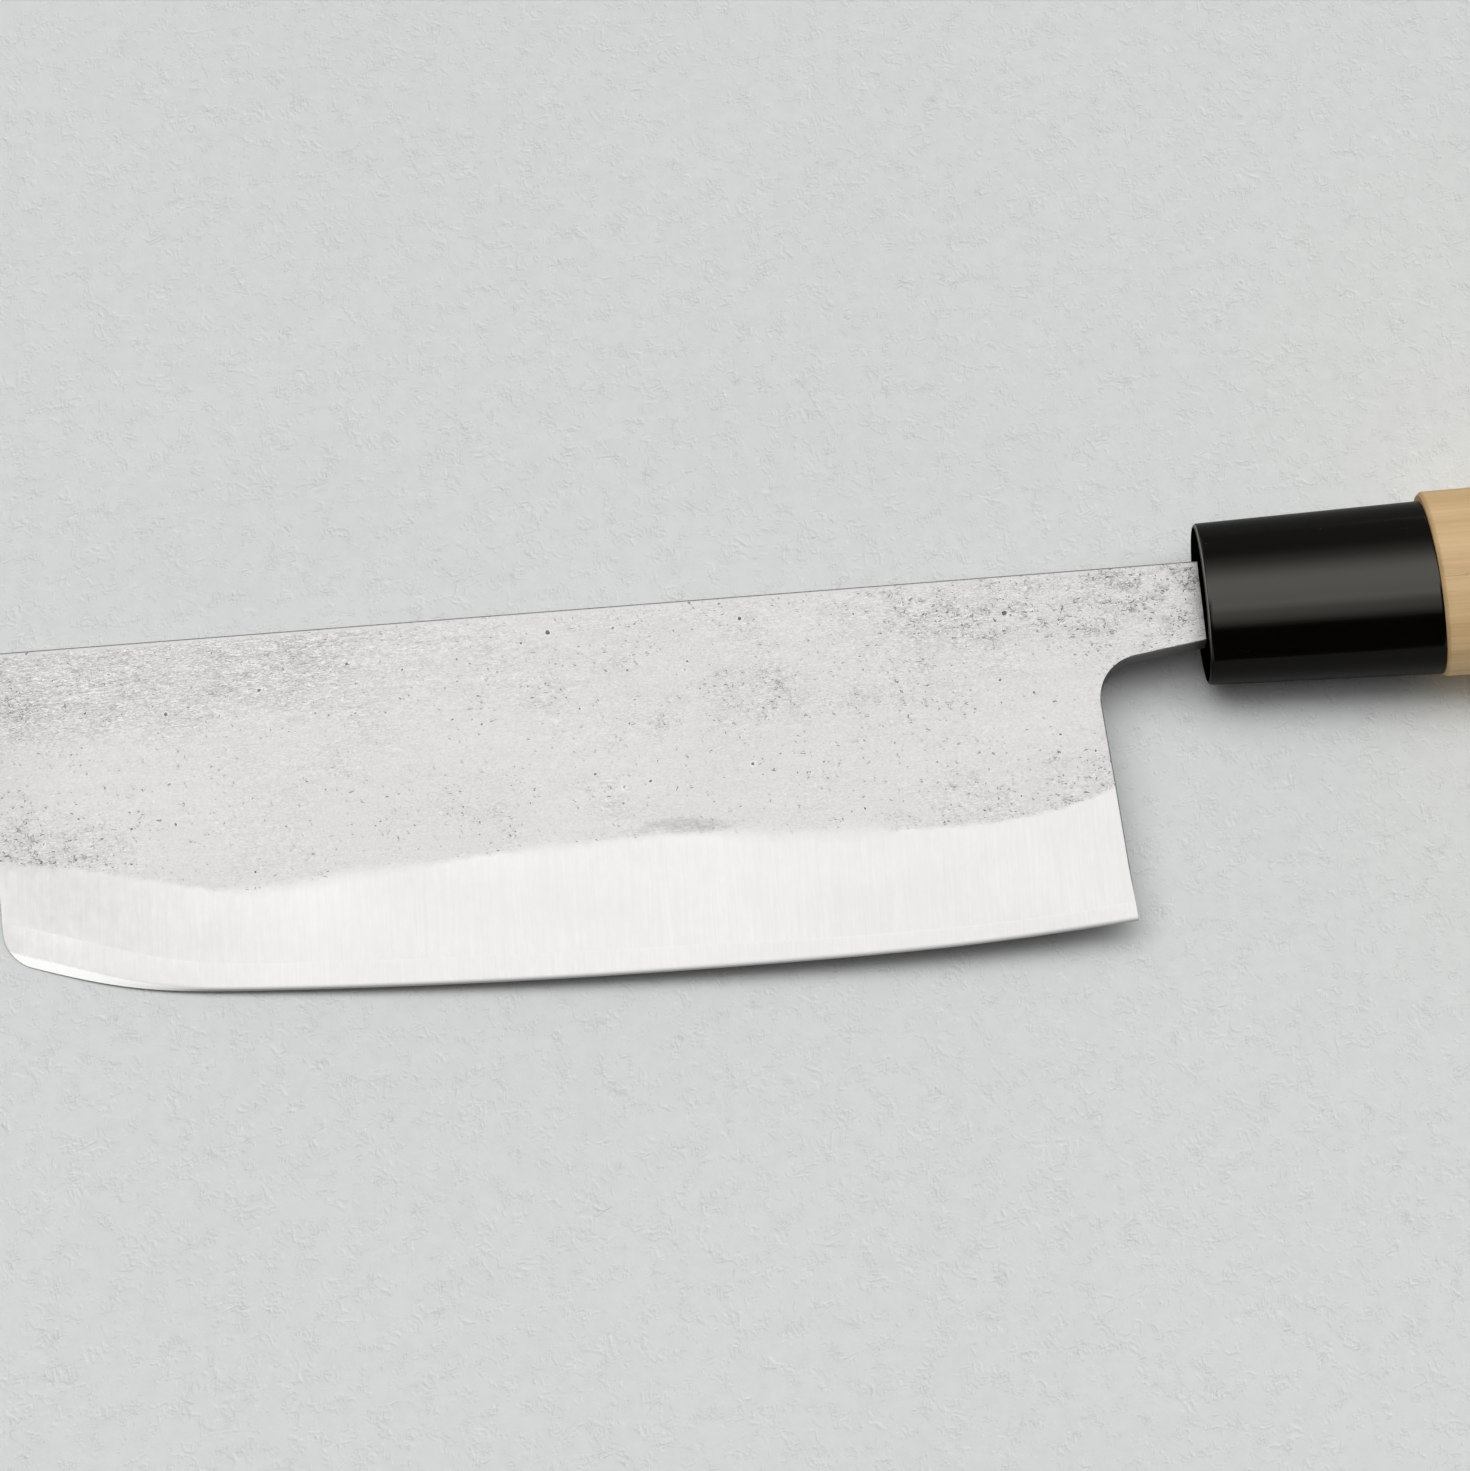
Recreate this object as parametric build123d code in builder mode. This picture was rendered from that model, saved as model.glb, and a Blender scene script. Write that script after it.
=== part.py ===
from build123d import *
from math import cos, radians, sin, tan
import os

# A nakiri, the straight-edged vegetable knife, lying on its right side. All sizes are in millimetres.
# The knife's own frame has its origin on the handle's axis at the front of the ferrule.
# There x runs back to the butt, y up to the spine and z out of the left side, which faces up.

# Blade, seen from the side
blade_length = 164.15
blade_height = 55.4
spine_height = 6.05
neck_length = 16.35
neck_drop = 6.25
choil_drop = 8.7
choil_radius = 6.0
heel_drop = 53.0
heel_lean_degrees = 4.2
front_lean_degrees = 5.0
front_top_radius = 7.0
front_low_radius = 6.8
eased_edge = 0.25

# The cutting edge, as shares of its length from heel to front and of the blade's height below the spine
edge_shares = [
    (0.125, 0.9845),
    (0.29, 0.9985),
    (0.40, 1.0),
    (0.50, 0.9980),
    (0.65, 0.9870),
    (0.785, 0.9690),
    (0.89, 0.9360),
]
front_corner_share = 0.842

# Layers of the blade: hard core between two soft sides, whose flats end where the neck starts
neck_start = 9.0
neck_thickness = 4.1
front_thickness = 2.0
edgeward_thinning = 0.8
core_thickness = 0.7

# Ground bevel: its height at places along the edge, as shares of the nominal height
bevel_height = 18.0
bevel_shares = [
    (0, 1.10),
    (0.06, 0.99),
    (0.13, 0.953),
    (0.24, 0.995),
    (0.31, 1.025),
    (0.385, 1.105),
    (0.47, 1.08),
    (0.56, 1.045),
    (0.64, 0.965),
    (0.71, 0.905),
    (0.77, 0.82),
    (0.84, 0.86),
    (0.92, 0.905),
    (1, 0.80),
]
sharpened_height = 0.7
sharpened_thickness = 0.3
edge_flat = 0.04

# Tang
tang_length = 88.0
tang_end_height = 6.0
tang_end_thickness = 2.4
tang_end_radius = 2.0

# Handle: an oval of four arcs that widens to the butt, with end faces that lean with the heel
face_lean_degrees = 3.0
round_end_share = 0.79
ferrule_length = 33.7
ferrule_front_height = 24.3
ferrule_front_thickness = 17.4
ferrule_taper_degrees = 1.49
ferrule_wall = 2.2
ferrule_front_wall = 3.5
rim_chamfer = 0.5
slot_clearance = 0.15

handle_length = 128.0
wood_step = 0.85
wood_rise = 0.5
wood_taper_degrees = 0.64
shoulder_chamfer = 0.4
butt_radius = 2.0
tenon_clearance = 0.1
tenon_end_gap = 0.5
tang_clearance = 0.4

# How far every cut runs past what it cuts
overrun = 5.0

# A face of the blade faces out when its normal has this share of the side's direction
outward_share = 0.5

# The knife lies on the wood's shoulder and the front of the blade: front down and edge down by these turns
rest_pitch_degrees = 2.272
rest_roll_degrees = 2.733
pitch = radians(rest_pitch_degrees)
roll = radians(rest_roll_degrees)
ferrule_widening = ferrule_length * tan(radians(ferrule_taper_degrees))
shoulder_height = ferrule_front_height + 2 * (ferrule_widening + wood_step)
shoulder_thickness = ferrule_front_thickness + 2 * (ferrule_widening + wood_step)
butt_height = shoulder_height + 2 * (handle_length - ferrule_length) * tan(radians(wood_taper_degrees))


def oval_radii(height: float, thickness: float) -> tuple[float, float]:
    """Gives the radii of the round ends and of the flatter flanks that run into them."""
    end = thickness / 2 * round_end_share
    step = thickness / 2 - end
    return end, thickness / 2 + ((height / 2 - end) ** 2 - step**2) / (2 * step)


shoulder_flank = oval_radii(shoulder_height, shoulder_thickness)[1]
shoulder_depth = shoulder_flank - (shoulder_flank - shoulder_thickness / 2) * cos(roll)
shoulder_place = ferrule_length + shoulder_chamfer
rest_height = (shoulder_depth - wood_rise * sin(roll)) * cos(pitch) - shoulder_place * sin(pitch)
blade_reach = (neck_length + blade_length) * cos(pitch) - front_top_radius * tan(radians(front_lean_degrees))
handle_reach = handle_length * cos(pitch) + (butt_height / 2 - butt_radius) * tan(radians(face_lean_degrees))
knife = Plane(
    origin=(
        (blade_reach - handle_reach) / 2,
        (blade_height - spine_height - butt_height / 2 - wood_rise) / 2,
        rest_height,
    ),
    x_dir=(cos(pitch), 0, sin(pitch)),
    z_dir=(-sin(pitch) * cos(roll), -sin(roll), cos(pitch) * cos(roll)),
)


def place(x: float, y: float, z: float) -> Vector:
    """Gives the point of the part's frame that lies at x, y and z of the knife's own frame."""
    return knife.from_local_coords(Vector(x, y, z))


def direction(x: float, y: float, z: float) -> Vector:
    """Gives the part's direction for one of the knife's own frame."""
    return place(x, y, z) - knife.origin


def cross_section(x: float, y: float = 0) -> Plane:
    """Gives the plane square to the knife at x, with the height across it and the thickness up."""
    return Plane(origin=place(x, y, 0), x_dir=direction(0, 1, 0), z_dir=direction(1, 0, 0))


def end_face(x: float) -> Plane:
    """Gives a leaning plane across the handle, whose axis it crosses at x."""
    return Plane(origin=place(x, 0, 0), z_dir=direction(1, tan(radians(face_lean_degrees)), 0))


# Corners of the side view
blade_front = -(neck_length + blade_length)
spine_corner = (blade_front, spine_height)
heel_corner = (
    -neck_length + (heel_drop - spine_height - choil_drop) * tan(radians(heel_lean_degrees)),
    spine_height - heel_drop,
)
front_corner = (
    blade_front + blade_height * front_corner_share * tan(radians(front_lean_degrees)),
    spine_height - blade_height * front_corner_share,
)
choil_corner = (-neck_length, -choil_drop)
edge_run = front_corner[0] - heel_corner[0]
edge_points = [
    heel_corner,
    *[(heel_corner[0] + edge_run * along, spine_height - blade_height * down) for along, down in edge_shares],
    front_corner,
]
edge_line = Spline(*edge_points)
tang_start = ferrule_front_wall / 2
neck_end = (tang_start, -neck_drop + tang_start * (choil_drop - neck_drop) / neck_length)
rounded_corners = [
    (choil_corner, choil_radius),
    (spine_corner, front_top_radius),
    (front_corner, front_low_radius),
]


def blade_view() -> Sketch:
    """Draws the outline of the blade and its neck, which ends inside the front wall of the ferrule."""
    with BuildSketch(knife) as outline:
        with BuildLine():
            Spline(*edge_points)
            Polyline(
                heel_corner,
                choil_corner,
                neck_end,
                (tang_start, spine_height),
                spine_corner,
                front_corner,
            )
        make_face()
        for corner, radius in rounded_corners:
            fillet(outline.vertices().sort_by_distance((*corner, 0))[0], radius)
    return outline.sketch


def tang_view(clearance: float = 0) -> Sketch:
    """Draws the tang, which narrows from the neck to its end in the wood, with a clearance round it."""
    with BuildSketch(knife) as outline:
        with BuildLine():
            Polyline(
                neck_end,
                (tang_length, -tang_end_height / 2),
                (tang_length, tang_end_height / 2),
                (tang_start, spine_height),
                close=True,
            )
        make_face()
        fillet(outline.vertices().group_by(Axis.X)[-1], tang_end_radius)
        if clearance:
            offset(amount=clearance)
    return outline.sketch


# How fast half the thickness shrinks: towards the front, from the spine to the edge, and to the tang's end.
# The neck's side is an arc that starts along the blade's flat and ends level.
neck_run = neck_start + tang_start
front_taper = (neck_thickness - front_thickness) / 2 / (-neck_start - blade_front + neck_run / 2)
edge_taper = edgeward_thinning / 2 / blade_height
tang_taper = (neck_thickness - tang_end_thickness) / 2 / (tang_length - tang_start)


def half_thickness(x: float, y: float) -> float:
    """Gives half the thickness of the blade above its bevel, at x and y of the knife's frame."""
    at_neck = (neck_thickness - neck_run * front_taper) / 2
    return at_neck + (x + neck_start) * front_taper + (y - spine_height) * edge_taper


def side_profile() -> Sketch:
    """Draws half the thickness of the blade and the neck along the spine."""
    along_spine = Plane(origin=place(0, spine_height, 0), x_dir=direction(1, 0, 0), z_dir=direction(0, -1, 0))
    front = blade_front - overrun
    with BuildSketch(along_spine) as profile:
        with BuildLine():
            flat = Line(
                (front, half_thickness(front, spine_height)),
                (-neck_start, half_thickness(-neck_start, spine_height)),
            )
            neck = TangentArc(flat @ 1, (tang_start, neck_thickness / 2), tangent=flat % 1)
            Polyline(neck @ 1, (tang_start, 0), (front, 0), flat @ 0)
        make_face()
    return profile.sketch


def bevel_cutter(side: int) -> Part:
    """Makes the stock that grinding takes off one side: 1 for the left, -1 for the right.

    Its slopes run on past the edge until the two sides meet, so they cross the outline cleanly.
    """
    clear = neck_thickness
    run_on = sharpened_height * edge_flat / (sharpened_thickness - edge_flat)
    ends = [(0, bevel_shares[0][1], overrun), (1, bevel_shares[-1][1], -overrun)]
    stations = [ends[0], *[(along, share, 0) for along, share in bevel_shares], ends[1]]
    with BuildPart() as cutter:
        for along, share, past in stations:
            point = edge_line @ along
            slope = edge_line % along
            x = point.X + past
            low = point.Y + past * slope.Y / slope.X
            high = low + bevel_height * share
            body = half_thickness(x, high)
            start = low + sharpened_height
            rise = (body - sharpened_thickness / 2) / (high - start)
            beyond = high + sharpened_height
            with BuildSketch(cross_section(x)):
                with BuildLine():
                    Polyline(
                        (low - overrun, 0),
                        (low - run_on, 0),
                        (start, side * sharpened_thickness / 2),
                        (beyond, side * (body + rise * sharpened_height)),
                        (beyond, side * clear),
                        (low - overrun, side * clear),
                        close=True,
                    )
                make_face()
        loft()
    return cutter.part


left_cutter = bevel_cutter(1)
right_cutter = bevel_cutter(-1)

# Hard core, which shows along the edge
with BuildPart() as core_steel:
    extrude(blade_view(), amount=core_thickness / 2, both=True)
    extrude(tang_view(), amount=core_thickness / 2, both=True)
    add(left_cutter, mode=Mode.SUBTRACT)
    add(right_cutter, mode=Mode.SUBTRACT)

# Soft steel on the left side: thick at the neck, thinner towards the front, the edge and the tang's end
with BuildPart() as left_tang:
    extrude(tang_view(), amount=neck_thickness)
    split(
        bisect_by=Plane(origin=place(tang_start, 0, neck_thickness / 2), z_dir=direction(tang_taper, 0, 1)),
        keep=Keep.BOTTOM,
    )
    split(bisect_by=knife.offset(core_thickness / 2), keep=Keep.TOP)

with BuildPart() as left_cladding:
    extrude(side_profile(), amount=blade_height + overrun, dir=direction(0, -1, -edge_taper), both=True)
    extrude(blade_view(), amount=neck_thickness, mode=Mode.INTERSECT)
    split(bisect_by=knife.offset(core_thickness / 2), keep=Keep.TOP)
    outer = left_cladding.faces().filter_by(lambda face: face.normal_at().dot(knife.z_dir) > outward_share)
    across = Axis(knife.origin, direction(0, 1, edge_taper))
    chamfer(outer.edges().filter_by(across, reverse=True), length=eased_edge)
    add(left_cutter, mode=Mode.SUBTRACT)
    add(left_tang.part)

with BuildPart() as right_cladding:
    mirror(left_cladding.part, about=knife)


def oval(section: Plane, height: float, thickness: float, inset: float = 0) -> Sketch:
    """Draws an oval of four arcs that run into each other, smaller by an inset all round."""
    end, flank = oval_radii(height, thickness)
    end_centre = height / 2 - end
    share = end_centre / (flank - end)
    join = end_centre + end * share
    rise = end * (1 - share**2) ** 0.5
    with BuildSketch(section) as outline:
        with BuildLine():
            ThreePointArc((-join, rise), (0, thickness / 2), (join, rise))
            ThreePointArc((join, rise), (height / 2, 0), (join, -rise))
            ThreePointArc((join, -rise), (0, -thickness / 2), (-join, -rise))
            ThreePointArc((-join, -rise), (-height / 2, 0), (-join, rise))
        make_face()
        if inset:
            offset(amount=-inset)
    return outline.sketch


# Collar of black plastic: closed in front but for the neck's slot, open behind for the tenon
front_inset = overrun * tan(radians(ferrule_taper_degrees))
with BuildPart() as ferrule:
    blank = oval(cross_section(-overrun), ferrule_front_height, ferrule_front_thickness, front_inset)
    extrude(blank, amount=ferrule_length + 2 * overrun, taper=-ferrule_taper_degrees)
    split(bisect_by=end_face(0), keep=Keep.TOP)
    split(bisect_by=end_face(ferrule_length), keep=Keep.BOTTOM)
    front_face = ferrule.faces().sort_by(Axis(knife.origin, knife.x_dir))[0]
    chamfer(front_face.edges(), length=rim_chamfer)
    socket_floor = cross_section(ferrule_front_wall)
    socket = oval(socket_floor, ferrule_front_height, ferrule_front_thickness, ferrule_wall)
    extrude(socket, amount=ferrule_length + overrun, mode=Mode.SUBTRACT)
    with BuildSketch(cross_section(0)):
        with Locations(((spine_height - neck_drop) / 2, 0)):
            Rectangle(spine_height + neck_drop + 2 * slot_clearance, neck_thickness + 2 * slot_clearance)
    extrude(amount=ferrule_front_wall + tenon_end_gap, both=True, mode=Mode.SUBTRACT)

# Wooden grip with the tenon that fills the ferrule and the hole for the tang
wood_inset = overrun * tan(radians(wood_taper_degrees))
with BuildPart() as handle_body:
    blank_start = cross_section(ferrule_length - overrun, wood_rise)
    blank = oval(blank_start, shoulder_height, shoulder_thickness, wood_inset)
    extrude(blank, amount=handle_length - ferrule_length + 2 * overrun, taper=-wood_taper_degrees)
    split(bisect_by=end_face(ferrule_length), keep=Keep.TOP)
    split(bisect_by=end_face(handle_length), keep=Keep.BOTTOM)
    ends = handle_body.faces().sort_by(Axis(knife.origin, knife.x_dir))
    chamfer(ends[0].edges(), length=shoulder_chamfer)
    fillet(ends[-1].edges(), butt_radius)
    tenon_start = ferrule_front_wall + tenon_end_gap
    tenon_inset = ferrule_wall + tenon_clearance
    extrude(
        oval(cross_section(tenon_start), ferrule_front_height, ferrule_front_thickness, tenon_inset),
        amount=ferrule_length + overrun - tenon_start,
    )
    hole_depth = neck_thickness / 2 + tang_clearance
    extrude(tang_view(tang_clearance), amount=hole_depth, both=True, mode=Mode.SUBTRACT)

os.makedirs("parts", exist_ok=True)
core_steel.part.label = "core_steel"
export_step(core_steel.part, "parts/core_steel.step")
left_cladding.part.label = "left_cladding"
export_step(left_cladding.part, "parts/left_cladding.step")
right_cladding.part.label = "right_cladding"
export_step(right_cladding.part, "parts/right_cladding.step")
ferrule.part.label = "ferrule"
export_step(ferrule.part, "parts/ferrule.step")
handle_body.part.label = "handle_body"
export_step(handle_body.part, "parts/handle_body.step")
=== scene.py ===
"""A nakiri, the straight-edged vegetable knife, lying on its right side on a pale table.

Lengths are millimetres in the knife's own frame: x runs back from the front of the ferrule to the butt,
y up to the spine and z out of the left side, which faces up. Pose.place turns them to metres in the part's frame.
"""

import logging
from collections.abc import Callable
from dataclasses import dataclass
from enum import Enum
from math import cos, pi, radians, sin, tan

import bmesh
import bpy
import numpy as np
from mathutils import Matrix


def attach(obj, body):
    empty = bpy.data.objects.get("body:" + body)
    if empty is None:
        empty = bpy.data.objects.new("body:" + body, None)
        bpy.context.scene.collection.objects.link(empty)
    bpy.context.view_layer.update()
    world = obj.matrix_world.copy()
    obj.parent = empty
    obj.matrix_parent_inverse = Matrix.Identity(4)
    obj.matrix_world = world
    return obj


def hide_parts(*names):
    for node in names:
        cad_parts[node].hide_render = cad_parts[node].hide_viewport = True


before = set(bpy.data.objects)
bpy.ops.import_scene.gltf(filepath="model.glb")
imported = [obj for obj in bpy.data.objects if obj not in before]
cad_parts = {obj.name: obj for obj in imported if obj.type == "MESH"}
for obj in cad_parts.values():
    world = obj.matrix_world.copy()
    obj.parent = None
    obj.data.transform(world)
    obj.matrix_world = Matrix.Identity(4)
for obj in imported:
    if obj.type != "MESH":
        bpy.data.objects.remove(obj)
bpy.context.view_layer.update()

MILLIMETRE = 0.001
MERGED_WITHIN = 0.0005 * MILLIMETRE
LINE_POINTS = 2400
BODY = "root"
log = logging.getLogger("nakiri")

Number = float | int
Array = np.ndarray
Triple = tuple[float, float, float]


def operator(operation: str, swapped: bool = False) -> Callable[..., "Value"]:
    """Makes a method that adds a Math node.

    Args:
        operation: The node's operation.
        swapped: Whether the method's own value comes second.

    Returns:
        The method. Its argument is left out where the operation takes one value.
    """

    def method(own: "Value", other: "Value | Number" = 0.0) -> "Value":
        """Gives the node's result."""
        first, second = (other, own) if swapped else (own, other)
        return own.graph.node("Math", {"operation": operation}, {0: first, 1: second})

    return method


class Value:
    """A number or a vector that a node gives, on which sums are written as in Python.

    Besides the signs, folded(size) runs up to the size and back to 0, again and again, and angle(other) is the angle
    whose tangent is self / other, in radians.
    """

    __add__ = operator("ADD")
    __radd__ = operator("ADD", True)
    __sub__ = operator("SUBTRACT")
    __rsub__ = operator("SUBTRACT", True)
    __mul__ = operator("MULTIPLY")
    __rmul__ = operator("MULTIPLY", True)
    __truediv__ = operator("DIVIDE")
    __abs__ = operator("ABSOLUTE")
    __pow__ = operator("POWER")
    folded = operator("PINGPONG")
    angle = operator("ARCTAN2")

    def __init__(self, graph: "Graph", socket: bpy.types.NodeSocket) -> None:
        """Keeps the socket and the graph that new nodes go into."""
        self.graph = graph
        self.socket = socket

    def smooth(self, low: Number, high: Number) -> "Value":
        """Rises smoothly from 0 at low to 1 at high.

        Args:
            low: Where the result leaves 0.
            high: Where the result reaches 1.

        Returns:
            The result of a Map Range node.
        """
        inputs = {"Value": self, "From Min": low, "From Max": high}
        return self.graph.node("MapRange", {"interpolation_type": "SMOOTHSTEP"}, inputs)

    def part(self, axis: int) -> "Value":
        """Gives one coordinate of a vector: 0 for x, 1 for y and 2 for z."""
        return self.graph.node("SeparateXYZ", {}, {"Vector": self}, axis)

    def moved(self, way: "Value | Triple") -> "Value":
        """Gives the vector plus another one."""
        return self.graph.node("VectorMath", {"operation": "ADD"}, {0: self, 1: way})

    def scaled(self, factors: Triple) -> "Value":
        """Gives the vector with each coordinate times its own factor."""
        return self.graph.node("VectorMath", {"operation": "MULTIPLY"}, {0: self, 1: factors})


Input = Value | Number | Triple


class Graph:
    """The nodes of one material or of the world."""

    def __init__(self, tree: bpy.types.NodeTree) -> None:
        """Starts with an empty tree."""
        self.tree = tree
        tree.nodes.clear()

    def node(
        self, kind: str, settings: dict[str, object], inputs: dict[str | int, Input], output: int | str = 0
    ) -> Value | None:
        """Adds one node.

        Args:
            kind: The node's type, without ShaderNode in front.
            settings: Its properties, set before its inputs.
            inputs: Values or links of its sockets, by name or number.
            output: Which output is returned.

        Returns:
            The chosen output, if the node has any.
        """
        node = self.tree.nodes.new("ShaderNode" + kind)
        for name, setting in settings.items():
            setattr(node, name, setting)
        for name, value in inputs.items():
            socket = node.inputs[name]
            if isinstance(value, Value):
                self.tree.links.new(value.socket, socket)
            else:
                colour = socket.type == "RGBA" and len(value) == 3
                socket.default_value = (*value, 1.0) if colour else value
        return Value(self, node.outputs[output]) if node.outputs else None

    def noise(
        self, place: Value, scale: float | Triple, detail: float = 2.0, roughness: float = 0.5, twist: float = 0.0
    ) -> Value:
        """Gives smooth noise around 0.5.

        Args:
            place: Where it is read.
            scale: Lumps per unit of the place, one number or one for each axis.
            detail: Number of finer layers.
            roughness: How strong each finer layer is.
            twist: How far the noise is bent by itself.

        Returns:
            The noise, from 0 to 1.
        """
        if isinstance(scale, tuple):
            place, scale = place.scaled(scale), 1.0
        inputs = {"Vector": place, "Scale": scale, "Detail": detail, "Roughness": roughness, "Distortion": twist}
        return self.node("TexNoise", {}, inputs)

    def bent(self, place: Value, scale: float, size: float) -> Value:
        """Moves a place about by a smooth noise, so that what is read there loses its even shape.

        Args:
            place: The place.
            scale: Bends per unit of the place.
            size: How far the noise reaches.

        Returns:
            The moved place.
        """
        shift = self.node("TexNoise", {}, {"Vector": place, "Scale": scale, "Detail": 1.0}, "Color")
        return place.moved(shift.moved((-0.5,) * 3).scaled((size,) * 3))

    def spots(self, place: Value, scale: float, radius: float, share: float | Value, halo: float = 0.0) -> Value:
        """Gives round spots, one in the middle of some cells of a scattered pattern.

        Args:
            place: Where the pattern is read.
            scale: Cells per unit of the place.
            radius: A spot's radius as a share of a cell.
            share: How many of the cells have a spot, from 0 to 1.
            halo: How strong the rim round each spot is.

        Returns:
            1 inside a spot, 0 outside and the halo's negative on the rim between them.
        """
        cells = {"Vector": place, "Scale": scale}
        far = self.node("TexVoronoi", {}, cells, "Distance")
        pick = self.node("TexVoronoi", {}, cells, "Color").part(0)
        there = (pick + share).smooth(1.0, 1.01)
        reach = far / ((pick.smooth(0.4, 1.0) * 0.6 + 0.4) * radius)
        inside = 1 - reach.smooth(0.6, 1.0)
        if halo:
            inside = inside - (reach.smooth(0.85, 1.2) - reach.smooth(1.3, 1.9)) * halo
        return inside * there

    def ellipse(self, x: Value, y: Value, middle: tuple[float, float], half: tuple[float, float]) -> Value:
        """Gives a soft patch.

        Args:
            x: The first coordinate.
            y: The second coordinate.
            middle: The patch's middle.
            half: Half its size along x and along y.

        Returns:
            1 in the middle, falling smoothly to 0 at the patch's outline.
        """
        far = ((x - middle[0]) / half[0]) ** 2 + ((y - middle[1]) / half[1]) ** 2
        return 1 - far.smooth(0.15, 1.0)

    def blend(self, factor: Input, first: Input, second: Input) -> Value:
        """Mixes two colours.

        Args:
            factor: 0 for the first colour, 1 for the second.
            first: A colour.
            second: Another colour.

        Returns:
            The mixed colour.
        """
        return self.node("Mix", {"data_type": "RGBA"}, {0: factor, 6: first, 7: second}, 2)

    def shaded(self, colour: Input, light: Value) -> Value:
        """Multiplies a colour by a number that varies.

        Args:
            colour: The colour.
            light: What it is multiplied by.

        Returns:
            The darker or lighter colour.
        """
        grey = self.node("CombineXYZ", {}, {0: light, 1: light, 2: light})
        settings = {"data_type": "RGBA", "blend_type": "MULTIPLY"}
        return self.node("Mix", settings, {0: 1.0, 6: colour, 7: grey}, 2)

    def attribute(self, name: str) -> Value:
        """Reads a number that is kept at each vertex."""
        return self.node("Attribute", {"attribute_name": name}, {}, "Fac")

    def in_reflection(self) -> Value:
        """Gives 1 for what is seen in a reflection and 0 for everything else."""
        return self.node("LightPath", {}, {}, "Is Glossy Ray")

    def relief(self, height: Value) -> Value:
        """Turns a height in millimetres into the normal that such a surface has.

        Args:
            height: The height above the mesh.

        Returns:
            The bumped normal.
        """
        return self.node("Bump", {}, {"Strength": 1.0, "Distance": MILLIMETRE, "Height": height})

    def shader(self, **inputs: Input) -> Value:
        """Adds a surface shader.

        Args:
            **inputs: Its sockets' values, with _ for a space.

        Returns:
            The shader.
        """
        named = {name.replace("_", " "): value for name, value in inputs.items()}
        return self.node("BsdfPrincipled", {}, named)


@dataclass(frozen=True)
class Pose:
    """How the knife lies: its frame's origin in the part's frame, then front down and edge down by two turns."""

    origin: Triple = (25.584, 16.960, 9.050)
    pitch: float = radians(2.272)
    roll: float = radians(2.733)

    def axes(self) -> Array:
        """Gives the knife's directions in the part's frame.

        Returns:
            x, y and z as rows.
        """
        along = np.array([cos(self.pitch), 0.0, sin(self.pitch)])
        out = np.array([-sin(self.pitch) * cos(self.roll), -sin(self.roll), cos(self.pitch) * cos(self.roll)])
        return np.stack([along, np.cross(out, along), out])

    def place(self, points: Array) -> Array:
        """Turns points of the knife's frame to the part's frame.

        Args:
            points: An array of points in millimetres.

        Returns:
            The same points in metres in the part's frame.
        """
        return (points @ self.axes() + np.array(self.origin)) * MILLIMETRE

    def read(self, graph: Graph) -> Value:
        """Gives the knife's own millimetres at each point of a material.

        Args:
            graph: The material's nodes.

        Returns:
            The point in the knife's frame.
        """
        here = graph.node("TexCoord", {}, {}, "Object")
        turn = Matrix(self.axes().T.tolist()).to_euler()
        inputs = {
            "Vector": here,
            "Location": tuple(np.array(self.origin) * MILLIMETRE),
            "Rotation": tuple(turn),
            "Scale": (MILLIMETRE,) * 3,
        }
        return graph.node("Mapping", {"vector_type": "TEXTURE"}, inputs)


POSE = Pose()


class Side(Enum):
    """The two sides of the blade: the left faces up. The value is the sign of z."""

    LEFT = 1
    RIGHT = -1

    @property
    def seed(self) -> int:
        """The start of the side's random draws."""
        return 11 if self is Side.LEFT else 47


def bilinear(ids: Array) -> Array:
    """Makes the four-sided faces of a grid of vertices.

    Args:
        ids: The vertices' numbers, row by row.

    Returns:
        One row of four numbers per face: each vertex with its neighbours in the next row and column.
    """
    return np.stack([ids[:-1, :-1], ids[:-1, 1:], ids[1:, 1:], ids[1:, :-1]], -1).reshape(-1, 4)


def band(first: Array, second: Array) -> Array:
    """Makes the faces between two closed loops with as many vertices each, given by their numbers."""
    return bilinear(np.stack([np.append(first, first[0]), np.append(second, second[0])]))


def add_object(name: str, data: bpy.types.ID) -> bpy.types.Object:
    """Adds an object to the scene, unmoved and unturned.

    Args:
        name: Its name.
        data: Its mesh or camera.

    Returns:
        The object.
    """
    added = bpy.data.objects.new(name, data)
    bpy.context.scene.collection.objects.link(added)
    return added


def make_piece(
    name: str,
    points: Array,
    faces: list[list[int]],
    marks: dict[str, Array],
    sharp: float = radians(35),
) -> bpy.types.Object:
    """Makes a closed piece from points of the knife's frame.

    Args:
        name: The piece's name.
        points: Its vertices in the knife's frame.
        faces: Its faces, as vertex numbers.
        marks: Numbers kept at each vertex, by name.
        sharp: Edges that bend more than this stay sharp.

    Returns:
        The object, at the origin, with its place in its mesh.
    """
    mesh = bpy.data.meshes.new(name)
    mesh.from_pydata(POSE.place(points).tolist(), [], faces)
    for mark, numbers in marks.items():
        layer = mesh.attributes.new(mark, "FLOAT", "POINT")
        layer.data.foreach_set("value", np.ascontiguousarray(numbers, np.float32))
    shell = bmesh.new()
    shell.from_mesh(mesh)
    bmesh.ops.remove_doubles(shell, verts=shell.verts, dist=MERGED_WITHIN)
    bmesh.ops.dissolve_degenerate(shell, edges=shell.edges, dist=MERGED_WITHIN)
    bmesh.ops.recalc_face_normals(shell, faces=shell.faces)
    shell.to_mesh(mesh)
    shell.free()
    mesh.shade_smooth()
    mesh.set_sharp_from_angle(angle=sharp)
    mesh.update()
    return add_object(name, mesh)


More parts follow.
